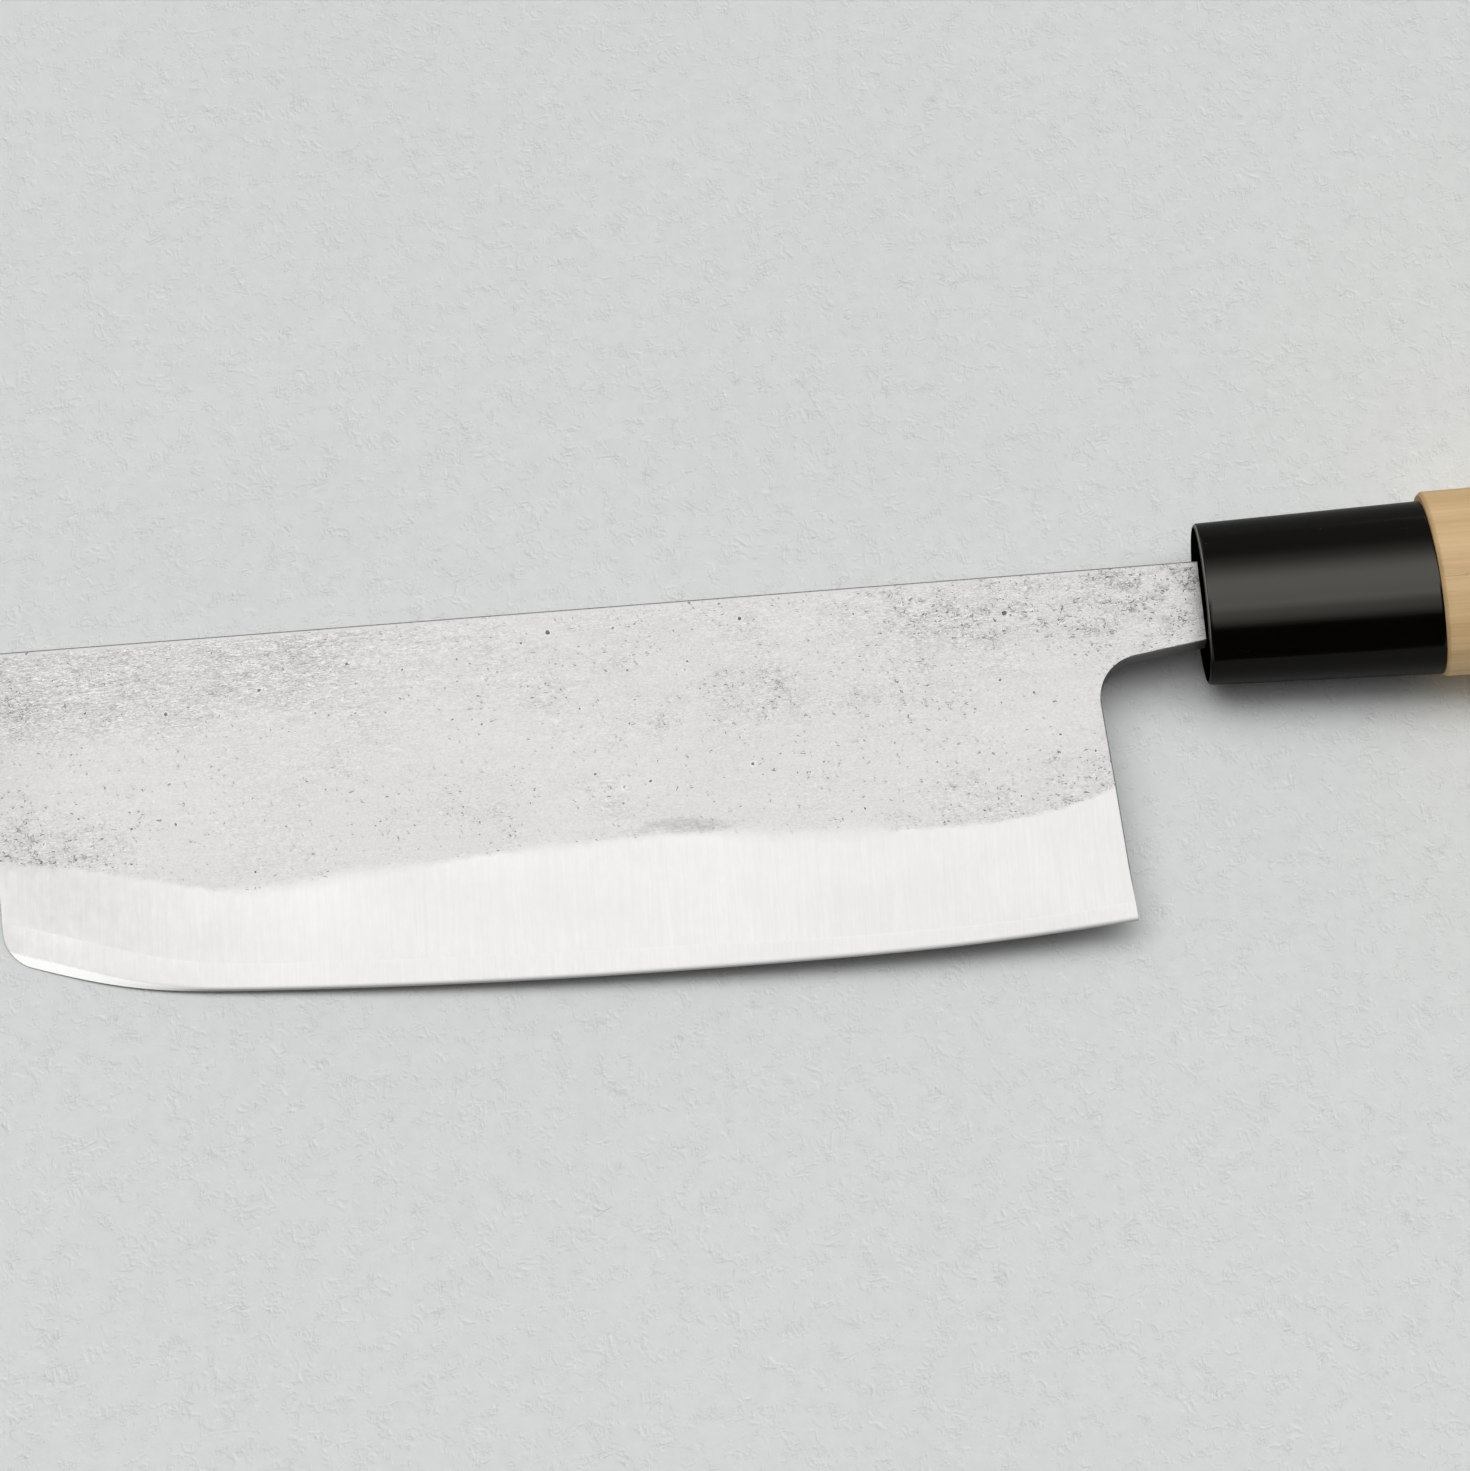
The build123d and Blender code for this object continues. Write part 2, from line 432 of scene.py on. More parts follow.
def dress(piece: bpy.types.Object, material: bpy.types.Material, slot: str, *nodes: str) -> None:
    """Gives a piece its finish, hangs it on the body and hides the solids that it stands for.

    Args:
        piece: The piece.
        material: Its finish.
        slot: The record's material slot. It is not used.
        *nodes: The solids that it replaces.
    """
    piece.data.materials.append(material)
    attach(piece, BODY)
    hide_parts(*nodes)
    log.info("%s: %d vertices, %d faces", piece.name, len(piece.data.vertices), len(piece.data.polygons))


@dataclass(frozen=True)
class Finish:
    """A material by its name. Each kind of finish has its own surface."""

    name: str

    def surface(self, g: Graph) -> Value:
        """Adds the nodes up to the surface shader, and gives that."""
        raise NotImplementedError

    def material(self) -> bpy.types.Material:
        """Makes the material.

        Returns:
            The material.
        """
        material = bpy.data.materials.new(self.name)
        material.use_nodes = True
        g = Graph(material.node_tree)
        g.node("OutputMaterial", {}, {"Surface": self.surface(g)})
        return material


def cubic(x: Array, knots: Array, heights: Array) -> Array:
    """Draws a smooth curve through given points.

    Between two knots the height is a cubic, and slope and bend carry over at each knot. The bends are the solution of
    one set of linear equations, with no bend at the two ends.

    Args:
        x: Where the curve is read.
        knots: The points' places, rising.
        heights: The points' heights.

    Returns:
        The curve's height at each x.
    """
    gaps = np.diff(knots)
    slopes = np.diff(heights) / gaps
    count = len(knots)
    system = np.eye(count)
    right = np.zeros(count)
    inner = np.arange(1, count - 1)
    system[inner, inner - 1] = gaps[:-1]
    system[inner, inner] = 2 * (gaps[:-1] + gaps[1:])
    system[inner, inner + 1] = gaps[1:]
    right[inner] = 6 * np.diff(slopes)
    bends = np.linalg.solve(system, right)
    at = np.clip(np.searchsorted(knots, x) - 1, 0, count - 2)
    gap, after, before = gaps[at], x - knots[at], knots[at + 1] - x
    bent = (bends[at] * before**3 + bends[at + 1] * after**3) / (6 * gap)
    straight = (heights[at] / gap - bends[at] * gap / 6) * before
    return bent + straight + (heights[at + 1] / gap - bends[at + 1] * gap / 6) * after


def step(value: Array, low: float, high: float) -> Array:
    """Rises smoothly from 0 at low to 1 at high: 3t² - 2t³ of the way t between them."""
    t = np.clip((value - low) / (high - low), 0.0, 1.0)
    return t * t * (3 - 2 * t)


def waves(x: Array, y: Array, length: float, stretch: float, seed: int) -> Array:
    """Adds up 28 plane waves that run every way, as hammering leaves a sheet.

    Each of them is the cosine of the place along its own direction over its length, plus its own start. The
    lengths spread around the given one, and along x they are longer by the stretch.

    Args:
        x: The first coordinate.
        y: The second coordinate.
        length: The middle wave length.
        stretch: How much longer the waves are along x.
        seed: The start of the random draws.

    Returns:
        The height, mostly between -1 and 1.
    """
    draw = np.random.default_rng(seed)
    count = 28
    turn = draw.uniform(0, 2 * np.pi, count)
    rate = 2 * np.pi / (length * draw.uniform(0.6, 1.8, count))
    start = draw.uniform(0, 2 * np.pi, count)
    total = np.zeros(np.broadcast(x, y).shape)
    for angle, speed, first in zip(turn, rate, start):
        total += np.cos(speed * (x * np.cos(angle) / stretch + y * np.sin(angle)) + first)
    return total / np.sqrt(count)


@dataclass(frozen=True)
class BladeShape:
    """The blade's side view and its surfaces, as formulas in the knife's frame."""

    spine: float = 6.05
    front: float = -180.65
    front_slope: float = tan(radians(5.0))
    front_top_radius: float = 4.0
    front_low_radius: float = 6.2
    choil: tuple[float, float] = (-16.35, -8.7)
    choil_radius: float = 6.0
    heel_slope: float = tan(radians(4.2))
    heel_low: float = -46.95
    height: float = 55.4
    corner_share: float = 0.842
    edge_shares: tuple[tuple[float, float], ...] = (
        (0.125, 0.9845), (0.29, 0.9985), (0.40, 1.0), (0.50, 0.9980), (0.65, 0.9870), (0.785, 0.9690),
        (0.89, 0.9360),
    )
    bevel_height: float = 18.0
    bevel_shares: tuple[tuple[float, float], ...] = (
        (0, 1.10), (0.06, 0.99), (0.13, 0.953), (0.24, 0.995), (0.31, 1.025), (0.385, 1.105), (0.47, 1.08),
        (0.56, 1.045), (0.64, 0.965), (0.71, 0.905), (0.77, 0.82), (0.84, 0.86), (0.92, 0.905), (1, 0.80),
    )
    neck_start: float = -9.0
    neck_thickness: float = 4.1
    front_thickness: float = 2.0
    thinning: float = 0.8
    core: float = 0.7
    tang_start: float = 1.75
    neck_low: float = -5.988
    tang_end: float = 88.0
    tang_end_height: float = 6.0
    tang_end_thickness: float = 2.4
    tang_end_radius: float = 2.0
    tang_blend: float = 9.0
    arris: float = 0.25
    arris_share: float = 0.6
    edge_thickness: float = 0.04
    sharpened_thickness: float = 0.30
    sharpened_heights: tuple[float, float] = (1.55, 0.35)
    sharpened_between: tuple[float, float] = (-170.0, -146.0)
    softness: float = 0.006

    @property
    def heel_top(self) -> float:
        """Where the heel's line would meet the spine."""
        return self.choil[0] - (self.spine - self.choil[1]) * self.heel_slope

    @property
    def heel_x(self) -> float:
        """The x of the heel's corner."""
        return self.choil[0] + (self.choil[1] - self.heel_low) * self.heel_slope

    @property
    def corner(self) -> tuple[float, float]:
        """The corner between front and edge, before it is rounded."""
        drop = self.height * self.corner_share
        return self.front + drop * self.front_slope, self.spine - drop

    def edge(self, x: Array) -> Array:
        """Gives the cutting edge's height: the smooth curve through its points.

        Args:
            x: Where along the knife.

        Returns:
            The height at each x.
        """
        run = self.corner[0] - self.heel_x
        points = [(self.heel_x, self.heel_low)]
        points += [(self.heel_x + run * along, self.spine - self.height * down) for along, down in self.edge_shares]
        points = np.array([*points, self.corner])[::-1]
        return cubic(x, points[:, 0], points[:, 1])

    def grind(self, x: Array) -> Array:
        """Gives the grind line's height: the edge plus the bevel's height, a smooth curve through its shares.

        Args:
            x: Where along the knife.

        Returns:
            The height at each x.
        """
        shares = np.array(self.bevel_shares)
        along = (x - self.heel_x) / (self.corner[0] - self.heel_x)
        return self.edge(x) + self.bevel_height * cubic(np.clip(along, -0.03, 1.03), shares[:, 0], shares[:, 1])

    def sharpened(self, x: Array) -> Array:
        """Gives the height of the sharpened strip: wide at the front, narrow along the rest."""
        front, rest = self.sharpened_heights
        return rest + (front - rest) * (1 - step(x, *self.sharpened_between))

    def lean(self, s: Array) -> Array:
        """Gives the slope of the column that starts at s on the spine: from the front's to the heel's."""
        share = (s - self.front) / (self.heel_top - self.front)
        return self.front_slope + (self.heel_slope - self.front_slope) * share

    def column(self, x: Array, y: Array) -> Array:
        """Finds the column through a point, by going back along its slope a few times.

        Args:
            x: Where along the knife.
            y: Where across the knife.

        Returns:
            The column's s.
        """
        s = x
        for _ in range(5):
            s = x - self.lean(s) * (self.spine - y)
        return s

    def half_thickness(self, x: Array, y: Array) -> Array:
        """Gives half the thickness above the bevel.

        The blade's flat rises towards the neck by a constant slope, the neck follows a parabola that ends level, and
        the tang gets thinner to its end. Towards the edge the blade is thinner by another constant slope.

        Args:
            x: Where along the knife.
            y: Where across the knife.

        Returns:
            Half the thickness.
        """
        run = self.tang_start - self.neck_start
        slope = (self.neck_thickness - self.front_thickness) / 2 / (self.neck_start - self.front + run / 2)
        past = np.clip(x - self.neck_start, 0, run)
        flat = (self.neck_thickness - run * slope) / 2 + (np.minimum(x, self.neck_start) - self.neck_start) * slope
        neck = slope * past - slope / (2 * run) * past**2
        tang_slope = (self.neck_thickness - self.tang_end_thickness) / 2 / (self.tang_end - self.tang_start)
        tang = np.maximum(x - self.tang_start, 0) * tang_slope
        thinned = 1 - step(x, self.tang_start, self.tang_start + self.tang_blend)
        thin = (y - self.spine) * self.thinning / 2 / self.height * thinned
        return flat + neck - tang + thin

    def outline_distance(self, x: Array, y: Array) -> Array:
        """Gives how far a point lies inside the outline: spine, front, heel and neck with their round corners.

        At a rounded corner the distance is the radius less the distance from its centre, and at the hollow between
        heel and neck it is the distance from the centre less the radius.

        Args:
            x: Where along the knife.
            y: Where across the knife.

        Returns:
            The distance, negative outside.
        """
        from_spine = self.spine - y
        from_front = (x - self.front - self.front_slope * from_spine) * cos(np.arctan(self.front_slope))
        inside = np.minimum(from_spine, from_front)
        radius = self.front_top_radius
        away = np.hypot(np.maximum(radius - from_spine, 0), np.maximum(radius - from_front, 0))
        in_corner = (from_spine < radius) & (from_front < radius)
        inside = np.where(in_corner, radius - away, inside)
        centre = self.low_centre
        low = (y < centre[1]) & (x < centre[0])
        in_low_corner = self.front_low_radius - np.hypot(x - centre[0], y - centre[1])
        inside = np.where(low, np.minimum(inside, in_low_corner), inside)
        from_heel = (self.choil[0] - self.heel_slope * (y - self.choil[1]) - x) * cos(np.arctan(self.heel_slope))
        neck_slope = (self.neck_low - self.choil[1]) / (self.tang_start - self.choil[0])
        from_neck = (y - self.choil[1] - neck_slope * (x - self.choil[0])) * cos(np.arctan(neck_slope))
        radius = self.choil_radius
        hollow = (from_heel > -radius) & (from_neck > -radius)
        away = np.hypot(from_heel + radius, from_neck + radius) - radius
        behind = np.where(hollow, away, np.maximum(from_heel, from_neck))
        return np.minimum(inside, behind)

    @property
    def choil_arc(self) -> tuple[Array, Array, Array]:
        """The hollow between heel and neck.

        Returns:
            Its centre, its start on the heel and its end under the neck.
        """
        corner = np.array(self.choil)
        heel = np.array([self.heel_slope, -1.0]) / np.hypot(self.heel_slope, 1)
        neck = np.array([self.tang_start, self.neck_low]) - corner
        neck /= np.hypot(*neck)
        half = np.arccos(heel @ neck) / 2
        run = self.choil_radius / tan(half)
        middle = (heel + neck) / np.hypot(*(heel + neck))
        return corner + middle * self.choil_radius / sin(half), corner + heel * run, corner + neck * run

    @property
    def low_centre(self) -> Array:
        """The centre of the front's lower corner: a radius inside the front and a radius above the edge.

        Returns:
            Its x and y, from many points on the line inside the front and their distances from the edge.
        """
        radius = self.front_low_radius
        y = np.linspace(self.corner[1], self.corner[1] + 3 * radius, LINE_POINTS // 4)
        x = self.front + self.front_slope * (self.spine - y) + radius / cos(np.arctan(self.front_slope))
        edge_x = np.linspace(self.corner[0], self.corner[0] + 6 * radius, LINE_POINTS // 3)
        near = np.hypot(x[:, None] - edge_x, y[:, None] - self.edge(edge_x)).min(1)
        at = np.interp(radius, near[near.argmin() :], np.arange(len(y))[near.argmin() :])
        return np.array([np.interp(at, np.arange(len(y)), x), np.interp(at, np.arange(len(y)), y)])

    @property
    def line_x(self) -> Array:
        """The places from the front to past the heel at which a line along the blade is known."""
        return np.linspace(self.front, self.heel_x + 1, LINE_POINTS)

    def low_line(self, s: Array) -> Array:
        """Gives the lowest height of each column: the round corner of the front, then the edge.

        Args:
            s: The columns.

        Returns:
            The height at which each column starts.
        """
        centre, radius = self.low_centre, self.front_low_radius
        edge_x = np.linspace(self.corner[0], self.heel_x, LINE_POINTS)
        edge_y = self.edge(edge_x)
        touch = np.hypot(edge_x - centre[0], edge_y - centre[1])[: LINE_POINTS // 4].argmin()
        end = np.arctan2(edge_y[touch] - centre[1], edge_x[touch] - centre[0])
        turn = np.linspace(-np.pi + np.arctan(self.front_slope), end, LINE_POINTS // 12)
        x = np.concatenate([centre[0] + radius * np.cos(turn), edge_x[touch:]])
        y = np.concatenate([centre[1] + radius * np.sin(turn), edge_y[touch:]])
        return np.interp(s, self.column(x, y), y)

    def along_columns(self, s: Array, height: Array) -> Array:
        """Gives a line's height on each column, from its height at line_x.

        Args:
            s: The columns.
            height: The line's height at each of the places.

        Returns:
            The height at which each column meets the line.
        """
        return np.interp(s, self.column(self.line_x, height), height)

    def surface(self, x: Array, y: Array) -> Array:
        """Gives the height of the left side's surface above the knife's middle plane.

        It is the smooth minimum of half the thickness and the bevel, which is a straight slope between the sharpened
        strip and the grind line, and under the strip it is a steeper slope down to the edge.

        Args:
            x: Where along the knife.
            y: Where across the knife.

        Returns:
            The height of the surface.
        """
        body = self.half_thickness(x, y)
        on_blade = np.minimum(x, self.heel_x + 1)
        edge, grind, strip = self.edge(on_blade), self.grind(on_blade), self.sharpened(on_blade)
        at_grind = self.half_thickness(on_blade, grind)
        low = edge + strip
        shoulder = self.sharpened_thickness / 2
        bevel = shoulder + (y - low) * (at_grind - shoulder) / (grind - low)
        sharp = self.edge_thickness / 2 + (y - edge) * (shoulder - self.edge_thickness / 2) / strip
        eased = -self.softness * np.logaddexp(-body / self.softness, -bevel / self.softness)
        ground = np.minimum(eased, np.maximum(sharp, self.edge_thickness / 2))
        return np.where(x > self.heel_x + 1, body, ground)

    def core_line(self) -> Array:
        """Gives where the bevel cuts the core's side: a share of the way up the bevel.

        Returns:
            The height at each place of line_x.
        """
        x = self.line_x
        edge, grind = self.edge(x), self.grind(x)
        low, shoulder = edge + self.sharpened(x), self.sharpened_thickness / 2
        return low + (self.core / 2 - shoulder) * (grind - low) / (self.half_thickness(x, grind) - shoulder)

    def rounded(self, z: Array, x: Array, y: Array, floor: float) -> Array:
        """Eases the arris: near the outline the surface drops along a quarter circle.

        Args:
            z: The surface.
            x: Where along the knife.
            y: Where across the knife.
            floor: The height under which nothing is taken off.

        Returns:
            The surface with its arris eased.
        """
        size = np.clip((z - floor) * self.arris_share, 0.0, self.arris)
        short = np.clip(size - np.maximum(self.outline_distance(x, y), 0), 0, None)
        return z - (size - np.sqrt(np.maximum(size**2 - short**2, 0)))


ARRIS_STEPS = np.array([0.0, 0.02, 0.06, 0.12, 0.19, 0.27, 0.42])
LOW_STEPS = (0.08, 0.25, 0.55)


def quarter(count: int) -> Array:
    """Gives angles from 0 to a right angle."""
    return np.linspace(0, np.pi / 2, count)


def divided(low: Array, high: Array, count: int) -> list[Array]:
    """Gives rows that divide the stretch from low to high evenly, without the last one."""
    return [low + (high - low) * share for share in np.linspace(0, 1, count + 1)[:-1]]


@dataclass
class BladeGrid:
    """A grid over the blade, the neck and the tang: columns from the front to the tang's end, rows upwards."""

    shape: BladeShape
    spacing: float
    low_rows: int
    bevel_rows: int
    face_rows: int
    top_rows: int
    start_at_core: bool
    least_rise: float = 0.2
    corner_columns: int = 26
    bend_columns: int = 30
    tang_columns: int = 40
    tang_corner_columns: int = 9
    corner_points: int = 120

    def columns(self) -> Array:
        """Gives the blade's columns: close at the front and at the heel, evenly spaced between them.

        Returns:
            Where each column meets the spine's line.
        """
        shape = self.shape
        corner = shape.front + shape.front_top_radius * (1 - np.cos(quarter(self.corner_columns)))
        last = shape.heel_top - ARRIS_STEPS[-1]
        middle = np.linspace(corner[-1], last, int((last - corner[-1]) / self.spacing))
        return np.concatenate([corner, middle[1:], shape.heel_top - ARRIS_STEPS[-2::-1]])

    def tail(self) -> tuple[Array, Array, Array, Array]:
        """Gives the ends of the columns behind the heel: round the hollow, under the neck and along the tang.

        Returns:
            x and y of the lower ends, then x and y of the upper ends.
        """
        shape = self.shape
        centre, start, end = shape.choil_arc
        first = np.arctan2(*(start - centre)[::-1])
        last = np.arctan2(*(end - centre)[::-1])
        turn = np.linspace(first % (2 * np.pi), last % (2 * np.pi), self.bend_columns)
        neck_x = np.linspace(end[0], shape.tang_start, self.bend_columns)[1:]
        neck_y = np.interp(neck_x, [end[0], shape.tang_start], [end[1], shape.neck_low])
        radius, half = shape.tang_end_radius, shape.tang_end_height / 2
        tang_x = np.linspace(shape.tang_start, shape.tang_end - radius, self.tang_columns)[1:]
        tang_y = np.interp(tang_x, [shape.tang_start, shape.tang_end], [shape.neck_low, -half])
        round_turn = quarter(self.tang_corner_columns)[1:]
        round_x = shape.tang_end - radius + radius * np.sin(round_turn)
        round_y = tang_y[-1] + radius * (1 - np.cos(round_turn))
        x = np.concatenate([centre[0] + shape.choil_radius * np.cos(turn), neck_x, tang_x, round_x])
        y = np.concatenate([centre[1] + shape.choil_radius * np.sin(turn), neck_y, tang_y, round_y])
        lean = shape.heel_slope * (1 - step(x, shape.choil[0], shape.tang_start))
        top_x = x - lean * (shape.spine - y)
        top_y = np.interp(top_x, [shape.tang_start, shape.tang_end], [shape.spine, half])
        top_y[-len(round_x) :] = top_y[-len(round_x) - 1] - radius * (1 - np.cos(round_turn))
        return x[1:], y[1:], top_x[1:], top_y[1:]

    def build(self) -> tuple[Array, Array, Array, Array]:
        """Lays out the grid.

        On each column the rows divide three stretches evenly: from its start to the grind line, from there to the
        height of the hollow, and from there to the spine. Next to the start, the hollow and the spine some rows lie
        closer, where the arris is rounded. The core starts at the edge, so it has one more line: its own side's end.

        Returns:
            x and y of every vertex, the faces, and the loop of vertices round the outline.
        """
        shape = self.shape
        s = self.columns()
        low, core = shape.low_line(s), shape.along_columns(s, shape.core_line())
        grind = shape.along_columns(s, shape.grind(shape.line_x))
        low, middle = (np.maximum(low, core), grind) if self.start_at_core else (low, core)
        middle = np.maximum(middle, low + self.least_rise)
        grind = np.maximum(grind, middle + self.least_rise)
        top = np.interp(s, *self.top_corner())
        start = shape.choil_arc[1]
        share = (start[1] - grind[-1]) / (top[-1] - grind[-1])
        hollow = grind + (top - grind) * share
        rows = divided(low, middle, self.low_rows)
        rows[1:1] = [low + (rows[1] - low) * t for t in LOW_STEPS]
        if self.start_at_core:
            grind = middle
        rows += divided(middle, grind, self.bevel_rows) + divided(grind, hollow, self.face_rows)
        rows_below = len(rows)
        y = np.concatenate([np.stack(rows), self.upper_rows(hollow, top)])
        x = s + shape.lean(s) * (shape.spine - y)
        tail_x, tail_y, top_x, top_y = self.tail()
        neck_y = self.upper_rows(tail_y, top_y)
        neck_x = tail_x + (top_x - tail_x) * (neck_y - tail_y) / (top_y - tail_y)
        ids = np.arange(y.size).reshape(y.shape)
        neck_ids = y.size + np.arange(neck_y.size).reshape(neck_y.shape)
        neck_ids = np.concatenate([ids[rows_below:, -1:], neck_ids], 1)
        faces = np.concatenate([bilinear(ids), bilinear(neck_ids)])
        loop = [ids[0, :], ids[1 : rows_below + 1, -1], neck_ids[0, 1:], neck_ids[1:, -1]]
        loop += [neck_ids[-1, -2::-1], ids[-1, -2::-1], ids[-2:0:-1, 0]]
        x, y = np.concatenate([x.ravel(), neck_x.ravel()]), np.concatenate([y.ravel(), neck_y.ravel()])
        return x, y, faces, np.concatenate(loop)

    def top_corner(self) -> tuple[Array, Array]:
        """Gives the upper ends of the columns as a curve: round the front's upper corner, then the spine.

        Returns:
            The columns' places and the heights there.
        """
        shape = self.shape
        radius, lean = shape.front_top_radius, np.arctan(shape.front_slope)
        centre_x = shape.front + radius * shape.front_slope + radius / cos(lean)
        turn = np.linspace(np.pi + lean, np.pi / 2, self.corner_points)
        x, y = centre_x + radius * np.cos(turn), shape.spine - radius + radius * np.sin(turn)
        return np.append(shape.column(x, y), shape.heel_top), np.append(y, shape.spine)

    def upper_rows(self, low: Array, top: Array) -> Array:
        """Gives the rows from the hollow's height up to the spine, closer at both ends.

        Args:
            low: Each column's lower end.
            top: Each column's upper end.

        Returns:
            The rows' heights.
        """
        ease = ARRIS_STEPS[:, None] * np.minimum(1.0, (top - low) / 3)
        inner = np.linspace(0, 1, self.top_rows + 1)[1:-1, None]
        start, end = low + ease[-1], top - ease[-1]
        return np.concatenate([low + ease, start + (end - start) * inner, top - ease[::-1]])


@dataclass(frozen=True)
class BladeSteel(Finish):
    """The blade's steel: forged skin with wrinkles and pits, a bevel ground to satin, and brushed walls."""

    shift: Triple = (0.0, 0.0, 0.0)
    own_marks: float = 0.0
    forged: Triple = (0.450, 0.442, 0.437)
    ground: Triple = (0.450, 0.446, 0.440)
    strip: Triple = (0.53, 0.53, 0.52)
    wall: Triple = (0.44, 0.44, 0.435)
    forged_roughness: float = 0.44
    ground_roughness: float = 0.38

    def crowding(self, g: Graph, x: Value, y: Value, above: Value, p: Value) -> Value:
        """Says where pits crowd: at the front above the bevel, at the heel, round the neck and in a few patches.

        Args:
            g: The material's nodes.
            x: Along the knife.
            y: Across the knife.
            above: The height above the grind line.
            p: Where noise is read.

        Returns:
            0 where pits are rare and 1 where they crowd.
        """
        low_front = (1 - x.smooth(-174.0, -150.0)) * (1 - above.smooth(1.0, 11.0))
        front_end = 1 - x.smooth(-179.0, -168.0)
        heel_side = x.smooth(-62.0, -22.0) * (1 - above.smooth(3.0, 12.0)) * 0.7
        neck_side = x.smooth(-24.0, -12.0) * y.smooth(-14.0, -5.0)
        patches = g.ellipse(x, y, (-67.0, -9.0), (13.0, 7.0)) + g.ellipse(x, y, (-43.0, -13.0), (17.0, 11.0)) * 0.8
        patches = patches * 0.45 + g.ellipse(x, y, (-32.0, 2.0), (26.0, 8.0)) * 0.85
        own = (low_front * 1.1 + front_end * 0.5 + neck_side + patches) * self.own_marks
        clumps = g.noise(p, (0.28, 0.40, 0.28), 3.0, 0.6).smooth(0.38, 0.62) * 0.7 + 0.3
        return (g.noise(p, 0.11, 2.0, 0.6).smooth(0.45, 0.75) * 0.5 + heel_side + own).smooth(0.0, 1.1) * clumps

    def surface(self, g: Graph) -> Value:
        """Adds the finish's nodes.

        Args:
            g: The material's nodes.

        Returns:
            The surface shader.
        """
        here = POSE.read(g)
        p = here.moved(self.shift)
        x, y = here.part(0), here.part(1)
        above = g.attribute("above_grind")
        wall = g.attribute("wall")

        # Where the forged skin ends
        scratch = g.noise(p, (3.2, 0.10, 0.5), 4.0, 0.7) - 0.5
        ragged = (g.noise(p, 0.4, 3.0, 0.55) - 0.5) * 1.3 + scratch * 0.9
        blur = g.noise(p, (0.035, 0.02, 0.02), 1.0).smooth(0.46, 0.56) * 2.2 + 1
        forged = ((above + ragged) / blur).smooth(-0.45, 0.55)

        # The skin's layers and where they are strong
        clouds = g.noise(p, (0.022, 0.05, 0.05), 3.0, 0.55)
        swell = g.noise(p, (0.30, 0.95, 0.3), 4.0, 0.6, 0.7) - 0.5
        wrinkle = g.noise(p, (1.35, 4.6, 1.2), 2.0, 0.6, 1.0) - 0.5
        grain = g.noise(p, (2.6, 3.8, 2.6), 2.0, 0.65) - 0.5
        patch = g.noise(p.scaled((0.7, 1.0, 1.0)), 0.10, 2.0).smooth(0.44, 0.62)
        upper_front = (1 - x.smooth(-142.0, -95.0)) * y.smooth(-12.0, -1.0)
        crowded = self.crowding(g, x, y, above, p)
        upper = y.smooth(-18.0, 2.0) * 0.22
        rippled = (patch * 0.25 + upper_front * 0.70 + crowded * 0.50 + upper + 0.14) * y.smooth(5.9, 5.0)

        # Pits, flakes with a painted highlight beside each, and worm tracks
        spotted = g.bent(p, 2.6, 0.30)
        big = g.spots(spotted, 0.21, 0.080, 0.20, 0.12)
        middling = g.spots(spotted.moved((1.3, 2.2, 5.0)), 0.62, 0.12, crowded * 0.14 + 0.07, 0.25)
        chip = g.noise(p.moved((5.0, 1.0, 3.0)), 0.95, 2.0, 0.65, 0.5)
        middling = middling + (chip - crowded * 0.05 - 0.225).smooth(0.03, -0.02)
        flaky = p.scaled((1.6, 2.5, 1.6))
        depth = crowded * 0.07 + 0.275
        # The second set of flakes, moved a little, lightens the skin on one side of each flake: a painted highlight,
        # which also lifts the relief a little there.
        fine, lip_highlight = (
            (g.noise(place, 1.0, 2.0, 0.6, 0.6) - depth).smooth(0.035, -0.02)
            for place in (flaky, flaky.moved((0.2, -0.75, 0.0)))
        )
        worm = g.noise(p.moved((9.0, 3.0, 1.0)), 0.75, 2.0, 0.5, 0.8)
        worm = (1 - abs(worm - 0.5).smooth(0.0, 0.05)) * g.noise(p, 0.5, 2.0).smooth(0.52, 0.60)
        pits = (big + middling * 0.72 + fine * 0.52 + worm * crowded * 0.40 - lip_highlight * 0.20) * forged

        # Marks in their own places, and painted shade at the front end
        smudge = ((x + 77.5) / 7.8) ** 2 + ((above - 1.3 - (x + 77.5) * 0.03) / 1.25) ** 2
        smudge = (1 - (smudge + wrinkle * 1.8 + swell * 3.2).smooth(-0.3, 1.5)) * self.own_marks
        # Painted shade: the skin darkens towards the front end.
        painted_front_shade = (1 - x.smooth(-186.0, -164.0)) * 0.07
        neck_marks = g.noise(p, (0.30, 0.55, 0.3), 3.0, 0.7, 0.8).smooth(0.54, 0.68)
        neck_marks = neck_marks * x.smooth(-22.0, -9.0) * 0.22

        # The colours of skin, bevel, honed strip and walls
        skin = 1 - (1 - clouds.smooth(0.3, 0.7)) * 0.07 - painted_front_shade - smudge * 0.19 - neck_marks - crowded * 0.02
        streak = g.noise(p, (0.06, 1.1, 0.5), 3.0, 0.6) - 0.5
        # Wrinkles, swell and grain also lighten and darken the skin as their relief does: painted shade in the hollows
        # and painted highlight on the crests. The streaks are the skin's own tone.
        skin = skin + wrinkle * rippled * 1.15 + swell * rippled * 0.42 + streak * 0.07
        skin = skin + grain * (rippled * 0.25 + 0.30)
        forged_colour = g.shaded(self.forged, skin * (1 - pits * 0.55))

